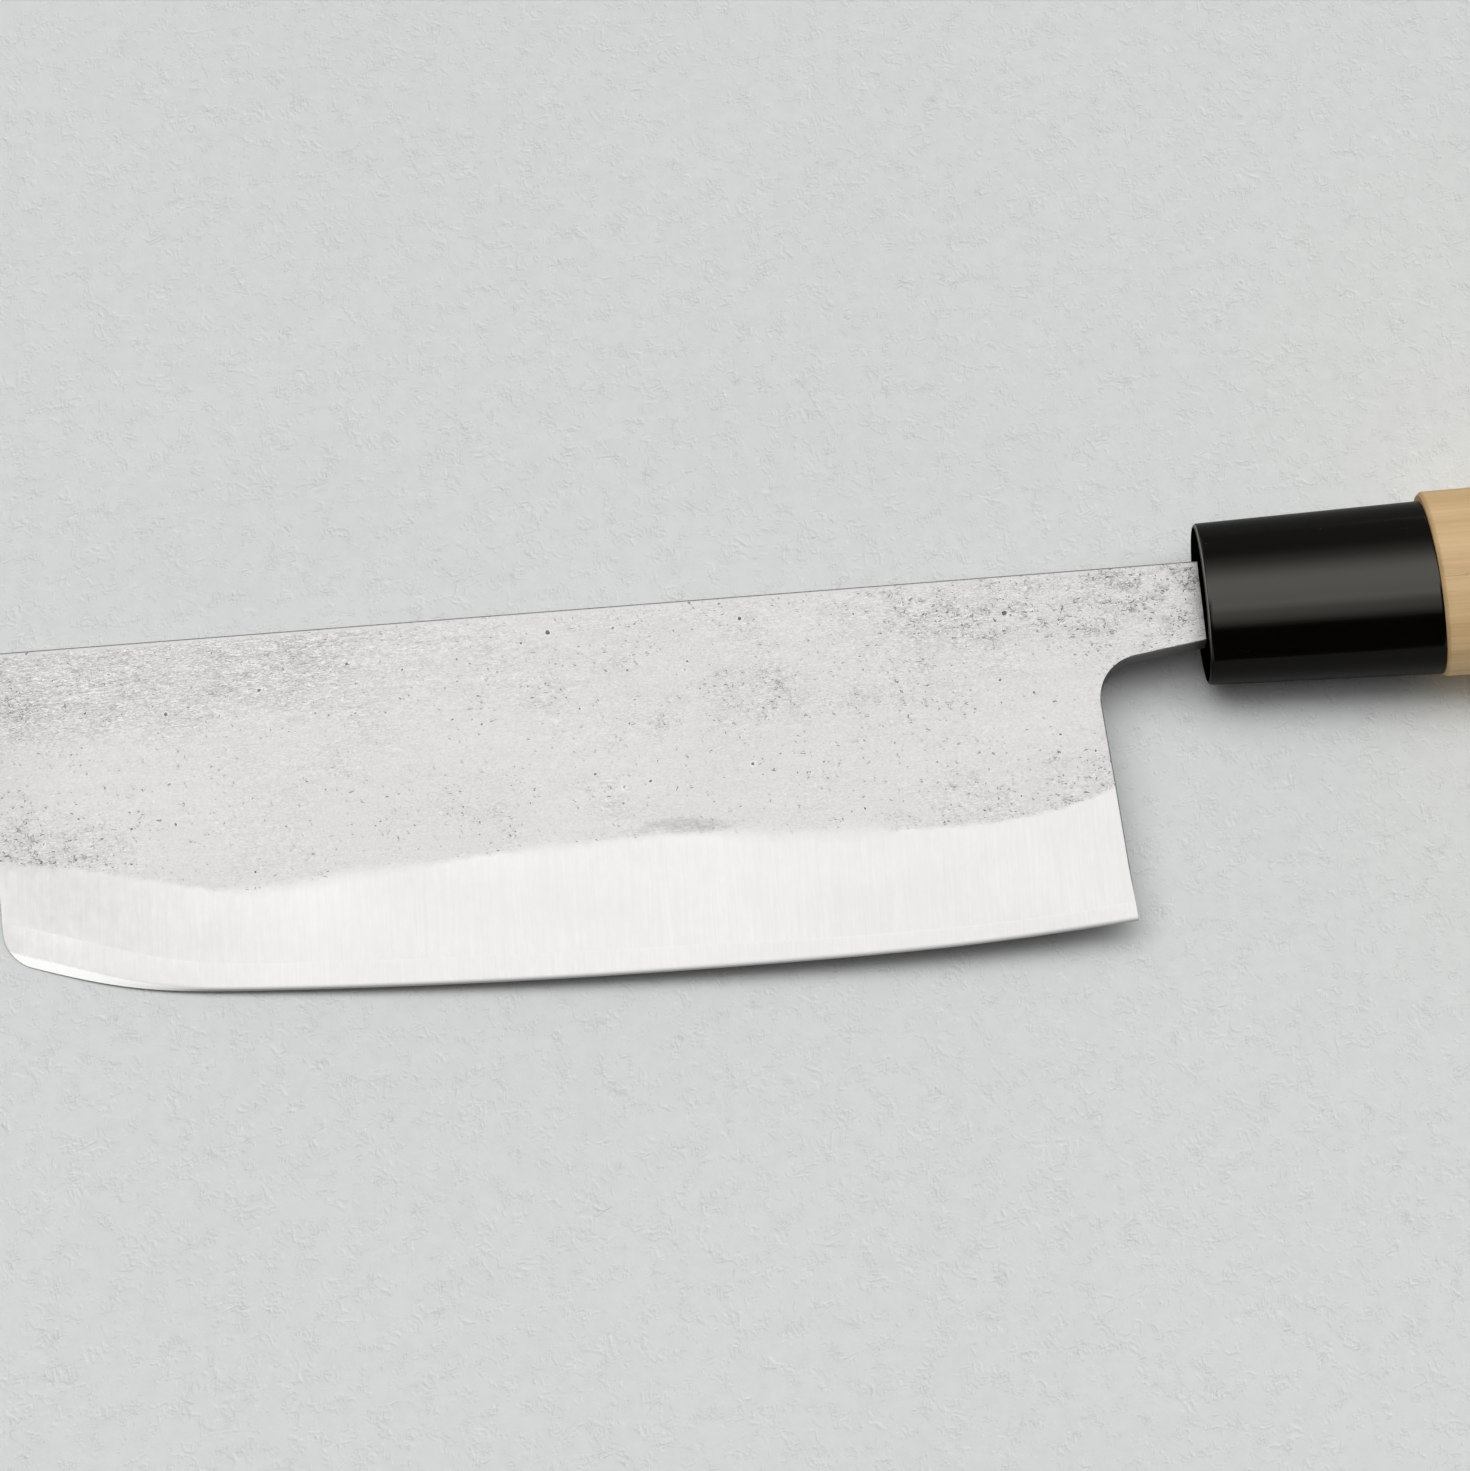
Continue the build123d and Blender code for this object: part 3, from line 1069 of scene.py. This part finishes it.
        haze = g.noise(p, (0.04, 0.09, 0.05), 3.0) - 0.5
        tip_grey = (1 - x.smooth(-176.0, -128.0)) * above.smooth(-22.0, -4.0)
        blot = g.noise(p, (0.8, 0.5, 0.5), 3.0, 0.6)
        satin = 1 + scratch * (blot * 0.34) + haze * (tip_grey * 0.26 + 0.10) - tip_grey * 0.11
        satin = satin + (blot - 0.5) * (tip_grey * 0.12 + 0.09)
        honed = (g.attribute("honed") + scratch * 0.5).smooth(1.12, 0.80)
        ground_colour = g.blend(honed, g.shaded(self.ground, satin), self.strip)
        brushed = g.noise(p, (0.2, 2.5, 4.0), 3.0, 0.6)
        wall_colour = g.shaded(self.wall, 0.85 + brushed * 0.3)

        # All together
        face = g.blend(forged, ground_colour, forged_colour)
        rough = self.ground_roughness + (self.forged_roughness - self.ground_roughness) * forged
        height = forged * (wrinkle * rippled * 0.035 + swell * rippled * 0.04 + grain * 0.01)
        height = height - pits * 0.05 + (1 - forged) * scratch * 0.0012
        return g.shader(
            Base_Color=g.blend(wall, face, wall_colour),
            Metallic=1.0,
            Roughness=rough + (clouds - 0.5) * 0.06 + pits * 0.2,
            Normal=g.relief(height),
        )


@dataclass(frozen=True)
class BlackPlastic(Finish):
    """The collar's glossy black plastic, with faint turning lines, a little dust and a painted highlight along its
    front rim; its front face is matte.
    """

    name: str = "collar_black_gloss"
    black: Triple = (0.0011, 0.0010, 0.0006)
    tint: Triple = (1.0, 0.965, 0.88)
    dust: Triple = (0.10, 0.10, 0.095)
    roughness: float = 0.12
    refraction: float = 1.42
    matte_roughness: float = 0.65
    matte_gloss: float = 0.0
    rim_highlight: Triple = (0.28, 0.27, 0.245)

    def surface(self, g: Graph) -> Value:
        """Adds the finish's nodes.

        Args:
            g: The material's nodes.

        Returns:
            The surface shader.
        """
        p = POSE.read(g)
        lines = g.noise(p, (0.05, 1.6, 1.6), 3.0, 0.6) - 0.5
        rub = g.noise(p, 0.16, 3.0, 0.6) - 0.5
        specks = g.spots(g.bent(p, 2.0, 0.4), 0.9, 0.07, 0.16) * rub.smooth(-0.15, 0.1)
        hairs = g.noise(p.scaled((0.25, 2.8, 2.8)).moved((4.0, 0.0, 9.0)), 1.0, 2.0, 0.5, 1.2)
        scratches = (1 - abs(hairs - 0.5).smooth(0.0, 0.006)) * g.noise(p, 0.3).smooth(0.6, 0.75)
        colour = g.blend((specks + scratches * 0.25).smooth(0.0, 1.0), self.black, self.dust)
        # A painted highlight along the front rim, fading out towards the bottom, where the collar lies in shade.
        rim = g.attribute("rim") * p.part(1).smooth(-12.0, -4.0)
        colour = g.blend(rim, colour, self.rim_highlight)
        side = g.shader(
            Base_Color=colour,
            IOR=self.refraction,
            Specular_Tint=self.tint,
            Roughness=self.roughness + rub * 0.08 + specks * 0.3 + rim * 0.2,
            Normal=g.relief(lines * 0.004 + specks * 0.01 - scratches * 0.001),
        )
        matte = {"Roughness": self.matte_roughness, "Specular_IOR_Level": self.matte_gloss}
        front = g.shader(Base_Color=self.black, **matte)
        return g.node("MixShader", {}, {0: g.attribute("matte"), 1: side, 2: front})


@dataclass(frozen=True)
class HandleWood(Finish):
    """The grip's pale magnolia wood: straight grain along the handle, end grain on its end faces."""

    name: str = "magnolia_wood"
    light: Triple = (0.81, 0.572, 0.305)
    dark: Triple = (0.58, 0.372, 0.172)
    roughness: float = 0.55

    def surface(self, g: Graph) -> Value:
        """Adds the finish's nodes.

        Args:
            g: The material's nodes.

        Returns:
            The surface shader.
        """
        p = POSE.read(g)
        end = g.attribute("end_grain")
        bend = g.noise(p, (0.012, 0.05, 0.05), 2.0) - 0.5
        rings = (p.part(1) * 0.42 + p.part(2) * 0.30 + bend * 5.0).folded(1.0)
        fibre = g.noise(p, (0.04, 2.8, 2.8), 4.0, 0.6) - 0.5
        pores = g.noise(p, (0.22, 5.2, 5.2), 2.0, 0.5)
        pore = (1 - pores.smooth(0.26, 0.38)) * g.noise(p, 0.4).smooth(0.35, 0.6)
        warm = g.noise(p, (0.02, 0.12, 0.12), 3.0) - 0.5
        tone = rings.smooth(0.1, 1.0) * 0.22 + fibre * 0.75 + warm * 0.5 + 0.28
        colour = g.blend((tone + end * 0.45).smooth(0.0, 1.0), self.light, self.dark)
        return g.shader(
            Base_Color=g.shaded(colour, 1 - pore * 0.22),
            Roughness=self.roughness + fibre * 0.15 + end * 0.1,
            Normal=g.relief(fibre * 0.025 - pore * 0.02 + (rings - 0.5) * 0.006),
        )


@dataclass
class Blade:
    """Two soft steel sides round a hard core, with the neck and the tang.

    Two sets of waves lie on the forged skin and one on the ground bevel, each with its height, length and stretch. The
    far marks stand for places that lie nowhere near the grind line or the edge.
    """

    shape: BladeShape = BladeShape()
    overlap: float = 0.01
    skin_waves: tuple[Triple, ...] = ((0.016, 9.0, 1.6), (0.0056, 3.2, 2.2))
    bevel_waves: tuple[Triple, ...] = ((0.004, 16.0, 1.5),)
    far_above: float = 30.0
    far: float = 9.0
    least_wall: float = 0.05

    def cladding(self, side: Side) -> bpy.types.Object:
        """Makes one side: its surface, eased along the outline, the wall under it and its flat back.

        Args:
            side: Which side.

        Returns:
            The piece.
        """
        shape = self.shape
        grid = BladeGrid(shape, spacing=0.37, low_rows=46, bevel_rows=0, face_rows=34, top_rows=42, start_at_core=True)
        x, y, faces, loop = grid.build()
        z = shape.surface(x, y)
        on_blade = np.minimum(x, shape.heel_x)
        above = np.where(x > shape.heel_x + 1, self.far_above, y - shape.grind(on_blade))
        skin = step(above, 0.5, 5.0) * step(shape.outline_distance(x, y), 0.1, 2.5) * (1 - step(x, -4.0, 0.0))
        bevel = (1 - step(above, -3.0, 0.0)) * step(y - shape.edge(on_blade), 1.5, 5.0) * (x < shape.heel_x)
        sets = [(skin, kind) for kind in self.skin_waves] + [(bevel, kind) for kind in self.bevel_waves]
        for seed, (where, (size, length, stretch)) in enumerate(sets, side.seed):
            z = z + size * where * waves(x, y, length, stretch, seed)
        back = shape.core / 2 - self.overlap
        z = np.maximum(shape.rounded(z, x, y, back), back + self.overlap / 2)
        count = len(x)
        points = np.concatenate([np.stack([x, y, z], 1), np.stack([x[loop], y[loop], np.full(len(loop), back)], 1)])
        points[:, 2] *= side.value
        low_ids = count + np.arange(len(loop))
        marks = {
            "above_grind": np.concatenate([above, above[loop]]),
            "wall": np.concatenate([np.zeros(count), np.ones(len(loop))]),
            "honed": np.full(count + len(loop), self.far),
        }
        marks["wall"][loop] = np.where(z[loop] > shape.core / 2 + self.least_wall, 1.0, 0.0)
        all_faces = [*faces.tolist(), *band(low_ids, loop).tolist(), low_ids.tolist()]
        return make_piece(f"blade_{side.name.lower()}_side", points, all_faces, marks)

    def core(self) -> bpy.types.Object:
        """Makes the hard layer between the sides: flat where they cover it, ground on both sides along the edge.

        Returns:
            The piece.
        """
        shape = self.shape
        grid = BladeGrid(shape, spacing=0.6, low_rows=12, bevel_rows=2, face_rows=2, top_rows=2, start_at_core=False)
        x, y, faces, loop = grid.build()
        z = np.minimum(shape.surface(x, y), shape.core / 2)
        count = len(x)
        top, under = np.stack([x, y, z], 1), np.stack([x, y, -z], 1)
        all_faces = [*faces.tolist(), *(faces[:, ::-1] + count).tolist(), *band(loop + count, loop).tolist()]
        on_blade = np.minimum(x, shape.heel_x)
        honed = (y - shape.edge(on_blade)) / shape.sharpened(on_blade) + self.far * (x > shape.heel_x + 1)
        marks = {"above_grind": np.full(2 * count, -self.far), "wall": np.zeros(2 * count), "honed": np.tile(honed, 2)}
        outline = np.concatenate([loop, loop + count])
        marks["wall"][outline] = np.where(np.tile(z, 2)[outline] > shape.core / 2 - self.least_wall, 1.0, 0.0)
        return make_piece("blade_core", np.concatenate([top, under]), all_faces, marks, sharp=radians(50))

    def make(self) -> None:
        """Builds and dresses the three layers."""
        left = BladeSteel("steel_left", own_marks=1.0)
        dress(self.cladding(Side.LEFT), left.material(), "cladding", "left_cladding")
        right = BladeSteel("steel_right", (61.0, -23.0, 40.0))
        dress(self.cladding(Side.RIGHT), right.material(), "cladding", "right_cladding")
        dress(self.core(), BladeSteel("steel_core", (13.0, 5.0, 8.0)).material(), "core_steel", "core_steel")


@dataclass(frozen=True)
class Oval:
    """The handle's section, of four arcs that run into each other, each point known by its outward normal."""

    height: float
    thickness: float
    centre: float = 0.0
    end_share: float = 0.79
    count: int = 240

    def ring(self, grow: float | Array = 0.0) -> tuple[Array, Array]:
        """Gives the oval, or one that lies outside or inside it by the same distance all round.

        On a flank the point is the flank's centre plus its radius along the normal, and on a round end the same holds
        with the end's centre and radius. A larger oval adds its distance along the normal.

        Args:
            grow: The distance outwards, one number or one for each point.

        Returns:
            y and z of the points.
        """
        angle = np.linspace(0, 2 * np.pi, self.count, endpoint=False)
        end = self.thickness / 2 * self.end_share
        off = self.thickness / 2 - end
        flank = self.thickness / 2 + ((self.height / 2 - end) ** 2 - off**2) / (2 * off)
        at_end = self.height / 2 - end
        on_flank = np.abs(np.sin(angle)) < at_end / (flank - end)
        y = np.where(on_flank, flank * np.sin(angle), at_end * np.sign(np.sin(angle)) + end * np.sin(angle))
        z_flank = (self.thickness / 2 - flank) * np.sign(np.cos(angle)) + flank * np.cos(angle)
        z = np.where(on_flank, z_flank, end * np.cos(angle))
        return self.centre + y + grow * np.sin(angle), z + grow * np.cos(angle)


def slot_ring(oval: Oval, middle: float, half_height: float, half_thickness: float) -> tuple[Array, Array]:
    """Gives a rectangle's points, each in the direction of the oval's own point.

    Args:
        oval: The oval round it.
        middle: The y of the rectangle's middle.
        half_height: Half its size along y.
        half_thickness: Half its size along z.

    Returns:
        y and z of the points, scaled back from the oval until they lie on the rectangle.
    """
    y, z = oval.ring()
    scale = np.minimum(half_height / np.maximum(np.abs(y), 1e-9), half_thickness / np.maximum(np.abs(z), 1e-9))
    return middle + y * scale, z * scale


def shrunk(ring: Array, share: float) -> Array:
    """Gives a ring of points at a share of its size round its middle."""
    return ring.mean(0) + (ring - ring.mean(0)) * share


@dataclass
class Lathe:
    """Rings of one oval or slot after another, which together close round a piece of the handle."""

    oval: Oval
    start: float
    slope: float
    lean: float = tan(radians(3.0))
    pole: float = 1e-4

    def ring(self, x: float, grow: float = 0.0, straight: bool = False) -> Array:
        """Gives one ring, which leans with the end faces.

        The place along the knife is x less the lean times y, and the oval grows with that place by the taper's slope.

        Args:
            x: Where the ring crosses the axis.
            grow: How far outside the tapered surface it lies.
            straight: Whether the taper is left out.

        Returns:
            The ring's points.
        """
        taper = 0.0 if straight else self.slope
        widen = np.zeros(self.oval.count)
        for _ in range(3):
            y, z = self.oval.ring(grow + widen)
            widen = taper * (x - self.lean * y - self.start)
        return np.stack([x - self.lean * y, y, z], 1)

    def rounding(self, x: float, radius: float, count: int) -> list[Array]:
        """Gives rings along a quarter circle that leads from an end face out to the side.

        Args:
            x: Where the end face crosses the axis.
            radius: The quarter circle's radius, negative where the piece lies in front of the face.
            count: How many rings.

        Returns:
            The rings, from the end face on.
        """
        return [self.ring(x + radius * (1 - cos(a)), -abs(radius) * (1 - sin(a))) for a in quarter(count)]

    def slot(self, x: float, middle: float, half_height: float, half_thickness: float) -> Array:
        """Gives a ring of a rectangular hole at x, leaning as the others do."""
        y, z = slot_ring(self.oval, middle, half_height, half_thickness)
        return np.stack([x - self.lean * y, y, z], 1)

    def piece(self, name: str, rings: list[Array], closed: bool, marks: dict[str, list[float]]) -> bpy.types.Object:
        """Joins the rings into a closed piece.

        Args:
            name: The piece's name.
            rings: Its rings, in order.
            closed: Whether the last ring joins the first. Otherwise both are closed by a pole.
            marks: Numbers kept at the vertices, by name: one for each ring, with those of the poles.

        Returns:
            The piece.
        """
        if not closed:
            rings = [shrunk(rings[0], self.pole), *rings, shrunk(rings[-1], self.pole)]
        count = self.oval.count
        ids = np.arange(len(rings) * count).reshape(-1, count)
        if closed:
            ids = np.concatenate([ids, ids[:1]])
        faces = bilinear(np.concatenate([ids, ids[:, :1]], 1)).tolist()
        kept = {mark: np.repeat(shares, count) for mark, shares in marks.items()}
        return make_piece(name, np.concatenate(rings), faces, kept)


@dataclass
class Collar:
    """The black ferrule: closed in front but for the neck's slot, open behind for the tenon."""

    length: float = 33.7
    height: float = 24.3
    thickness: float = 17.4
    slope: float = tan(radians(1.49))
    wall: float = 2.2
    front_wall: float = 3.5
    rim: float = 0.55
    rim_rings: int = 9
    back_rim: float = 0.12
    back_rim_rings: int = 4
    front_lean: float = tan(radians(0.7))
    back_lean: float = tan(radians(3.0))
    slot: Triple = (-0.1, 6.30, 2.20)
    slot_bevel: float = 0.15
    face_rings: int = 12
    side_rings: int = 60
    side_gap: float = 0.4
    socket_rings: tuple[float, float] = (33.5, 20.0)

    def lathe_at(self, x: float) -> Lathe:
        """Gives the rings' maker at x: their lean runs evenly from the front face's to the back's."""
        lean = self.front_lean + (self.back_lean - self.front_lean) * x / self.length
        return Lathe(Oval(self.height, self.thickness), start=0.0, slope=self.slope, lean=lean)

    def make(self) -> None:
        """Builds the collar from rings: slot, front face, round rim, side, back, socket and slot again.

        The slot is a middle, half a height and half a thickness. The rim's mark, which carries the painted highlight,
        is full on the rim's middle ring.
        """
        lathe = self.lathe_at(0.0)
        middle, *half = self.slot
        bevelled = lathe.slot(0.0, middle, *(size + self.slot_bevel for size in half))
        rim_start = lathe.ring(0.0, -self.rim)
        rings = [lathe.slot(self.slot_bevel, *self.slot), bevelled]
        rings += [bevelled + (rim_start - bevelled) * share for share in np.linspace(0.1, 0.98, self.face_rings)]
        matte = [1.0] * (len(rings) + 1)
        rim = [0.0] * (len(rings) + 3) + [0.5, 1.0, 0.5]
        rings += lathe.rounding(0.0, self.rim, self.rim_rings)
        side = np.linspace(self.rim + self.side_gap, self.length - self.side_gap, self.side_rings)
        rings += [self.lathe_at(x).ring(x) for x in side]
        lathe = self.lathe_at(self.length)
        rings += lathe.rounding(self.length, -self.back_rim, self.back_rim_rings)[::-1]
        rings += [lathe.ring(x, -self.wall, straight=True) for x in (self.length, *self.socket_rings, self.front_wall)]
        rings += [lathe.slot(self.front_wall, *self.slot)]
        matte += [0.0] * (len(rings) - len(matte) - 1) + [1.0]
        rim += [0.0] * (len(rings) - len(rim))
        collar = lathe.piece("collar", rings, closed=True, marks={"matte": matte, "rim": rim})
        dress(collar, BlackPlastic().material(), "ferrule", "ferrule")


@dataclass
class Grip:
    """The wooden handle: tenon in the collar, shoulder, side and rounded butt, with the hole for the tang."""

    start: float = 33.7
    end: float = 128.0
    height: float = 27.753
    thickness: float = 20.853
    rise: float = 0.5
    slope: float = tan(radians(0.64))
    shoulder: tuple[tuple[float, float], ...] = ((-0.05, -2.5), (0, -2), (0, -0.5175), (0.05, -0.45), (0.45, -0.06))
    side_start: float = 0.6
    butt: float = 2.0
    butt_rounding_rings: int = 14
    tenon_height: float = 24.3
    tenon_thickness: float = 17.4
    tenon_inset: float = 2.3
    tenon_rings: tuple[float, ...] = (4.0, 8.0, 20.0, 33.65)
    hole_start: tuple[float, float, float, float] = (4.0, -0.1, 6.35, 2.45)
    hole_end: tuple[float, float, float, float] = (88.4, 0.0, 3.4, 2.45)
    side_rings: int = 110
    butt_rings: int = 12

    def make(self) -> None:
        """Builds the grip from rings: the tang's hole, the tenon, the shoulder, the side and the butt.

        The hole's two ends are each a place, a middle, half a height and half a thickness. Each of the shoulder's
        rings is a way back from the collar and a distance outside the side.
        """
        lathe = Lathe(Oval(self.height, self.thickness, self.rise), self.start, self.slope)
        tenon = Lathe(Oval(self.tenon_height, self.tenon_thickness), start=0.0, slope=0.0)
        rings = [tenon.slot(*self.hole_end), tenon.slot(*self.hole_start)]
        rings += [tenon.ring(x, -self.tenon_inset) for x in self.tenon_rings]
        ends = [0.0] * len(rings)
        rings += [lathe.ring(self.start + back, grow) for back, grow in self.shoulder]
        ends += [1.0] * (len(self.shoulder) - 1) + [0.35]
        side = np.linspace(self.start + self.side_start, self.end - self.butt, self.side_rings)
        rings += [lathe.ring(x) for x in side]
        ends += [0.0] * len(side)
        rings += lathe.rounding(self.end, -self.butt, self.butt_rounding_rings)[-2::-1]
        ends += [sin(a) ** 2 for a in quarter(self.butt_rounding_rings)[1:]]
        rings += [shrunk(rings[-1], share) for share in np.linspace(0.92, 0.08, self.butt_rings)]
        ends += [1.0] * self.butt_rings
        grip = lathe.piece("grip", rings, closed=False, marks={"end_grain": [0.0, *ends, 1.0]})
        dress(grip, HandleWood().material(), "handle_wood", "handle_body")


@dataclass(frozen=True)
class TablePaper(Finish):
    """The pale table: grey-green, faintly mottled, with short curled fibres whose light and dark sides are painted,
    and a little painted shade towards +y. It looks darker in gloss.
    """

    name: str = "pale_table"
    colour: Triple = (0.823, 0.843, 0.834)
    roughness: float = 0.75
    in_gloss: float = 0.32

    def strokes(self, g: Graph, p: Value, scale: float, apart: float) -> Value:
        """Gives short curled strokes, each with a painted highlight on one side and painted shade on the other: level
        lines of a noise, in some places.

        Args:
            g: The material's nodes.
            p: Where the noise is read.
            scale: Lumps of the noise per millimetre.
            apart: How far the dark side lies from the light one.

        Returns:
            1 on the light side, -1 on the dark side and 0 elsewhere.
        """
        sides = [
            1 - abs(g.noise(p.moved(move), scale, 2.0, 0.6, 1.0) - 0.5).smooth(0.0, 0.06)
            for move in ((0.0, 0.0, 0.0), (apart, apart * 1.3, 0.0))
        ]
        return (sides[0] - sides[1]) * g.noise(p.moved((3.0, 8.0, 1.0)), 0.33, 3.0, 0.6).smooth(0.47, 0.62)

    def surface(self, g: Graph) -> Value:
        """Adds the finish's nodes.

        Args:
            g: The material's nodes.

        Returns:
            The surface shader.
        """
        p = g.node("TexCoord", {}, {}, "Object").scaled((1 / MILLIMETRE,) * 3)
        mottle = g.noise(p, 0.40, 3.0, 0.6) - 0.5
        broad = g.noise(p, 0.012, 2.0) - 0.5
        flakes = g.noise(p.moved((7.0, 9.0, 2.0)), 0.30, 3.0, 0.65).smooth(0.47, 0.53) - 0.5
        # Each stroke's light side is a painted highlight and its dark side painted shade, as on raised fibres lit from
        # one side.
        strokes = self.strokes(g, p, 0.36, 0.24) + self.strokes(g, p.moved((31.0, 17.0, 5.0)), 0.60, 0.20)
        tone = 1 + mottle * 0.08 + broad * 0.05 + flakes * 0.016 + strokes * 0.085
        # Painted shade: the table darkens slightly towards +y, as the light falls off across it.
        tone = tone - (p.part(1).smooth(-140.0, 140.0) - 0.5) * 0.02
        return g.shader(
            Base_Color=g.shaded(self.colour, tone * (1 - g.in_reflection() * (1 - self.in_gloss))),
            Roughness=self.roughness,
            Specular_IOR_Level=0.2,
            Normal=g.relief(strokes * 0.03 + mottle * 0.06),
        )


@dataclass
class Studio:
    """The table, the soft light over it and the camera."""

    flat_radius: float = 1.2
    full_radius: float = 3.0
    brim: float = 0.53
    table_rings: int = 90
    table_spokes: int = 180
    least_radius: float = 0.02
    lens: float = 100.0
    sensor: float = 36.0
    camera_place: Triple = (-0.05691, -0.20036, 0.56566)
    camera_tilt: float = 19.923
    camera_turn: float = -3.72
    strip: float = 1.85
    halo: float = 0.72
    neck: float = 0.90
    room: float = 0.18
    dark_side: float = 0.02
    low: float = 0.55

    def table(self) -> None:
        """Makes the table: a disc whose rim rises smoothly, so that low views see it all round."""
        rings = np.geomspace(self.least_radius, self.full_radius, self.table_rings)
        radius = np.concatenate([[0.0], rings])[:, None]
        angle = np.linspace(0, 2 * np.pi, self.table_spokes, endpoint=False)
        x, y = radius * np.cos(angle), radius * np.sin(angle)
        z = self.brim * step(radius, self.flat_radius, self.full_radius) + 0 * angle
        ids = np.arange(x.size).reshape(x.shape)
        ids[0] = 0
        faces = bilinear(np.concatenate([ids, ids[:, :1]], 1))
        mesh = bpy.data.meshes.new("table")
        first = [list(dict.fromkeys(face)) for face in faces[: len(angle)].tolist()]
        mesh.from_pydata(np.stack([x, y, z], -1).reshape(-1, 3).tolist(), [], first + faces[len(angle) :].tolist())
        mesh.shade_smooth()
        mesh.materials.append(TablePaper().material())
        add_object("table", mesh)

    def sky(self) -> None:
        """Lights the table with a wide soft strip overhead and a round halo about it, in a dim room.

        The strip runs along x and stands a little behind the upright, and the halo reaches further to all sides. A
        narrow column over the collar draws the lower half of its gloss. In front everything ends at a clean edge,
        where the room is dark. Low on all sides the walls are lighter in reflections, for the steel seen from there.
        """
        world = bpy.data.worlds.new("soft_panel")
        bpy.context.scene.world = world
        world.use_nodes = True
        g = Graph(world.node_tree)
        ray = g.node("TexCoord", {}, {}, "Generated")
        across = ray.part(1).angle(ray.part(2)) * (180 / pi)
        along = ray.part(0).angle(ray.part(2)) * (180 / pi)
        front_end = across.smooth(-31.0, -22.0)
        strip = across.smooth(-9.0, 4.5) * (1 - across.smooth(14.0, 39.0))
        strip = strip * along.smooth(-44.0, -37.0) * (1 - along.smooth(50.0, 88.0))
        strip = strip * (1.35 - along.smooth(-34.0, -8.0) * 0.35)
        pinch = 2.4 - across.smooth(-20.0, 5.0) * 1.4
        away = ((across - 7.0) ** 2 + ((along + 8.0) * pinch) ** 2) ** 0.5
        halo = (1 - away.smooth(25.0, 48.0)) * front_end
        column = (1 - abs(along - 2.5).smooth(3.5, 9.0)) * across.smooth(-36.0, -25.0)
        neck = column * (1 - across.smooth(-10.0, 4.0)) * (1 + across.smooth(-19.0, -9.0))
        room = (1 - across.smooth(60.0, 80.0) * 0.15) * front_end * (self.room - self.dark_side) + self.dark_side
        low = abs(across).smooth(50.0, 65.0) * abs(along - 6.0).smooth(18.0, 32.0) * g.in_reflection()
        strength = room + strip * self.strip + halo * self.halo + neck * self.neck + low * self.low
        backdrop = g.node("Background", {}, {"Color": (1.0, 1.0, 0.995), "Strength": strength})
        g.node("OutputWorld", {}, {"Surface": backdrop})

    def camera(self) -> None:
        """Puts the camera where the photograph was taken from."""
        lens = bpy.data.cameras.new("camera")
        lens.lens = self.lens
        lens.sensor_width = self.sensor
        lens.clip_start = 0.01
        camera = add_object("camera", lens)
        camera.location = self.camera_place
        camera.rotation_euler = (radians(self.camera_tilt), 0.0, radians(self.camera_turn))
        bpy.context.scene.camera = camera

    def make(self) -> None:
        """Builds the table, the light and the camera."""
        self.table()
        self.sky()
        self.camera()
        bpy.context.scene.view_settings.view_transform = "Standard"


def main() -> None:
    """Builds the knife and its studio."""
    logging.basicConfig(level=logging.INFO, format="%(name)s %(message)s")
    Studio().make()
    Blade().make()
    Collar().make()
    Grip().make()


if __name__ == "__main__":
    main()
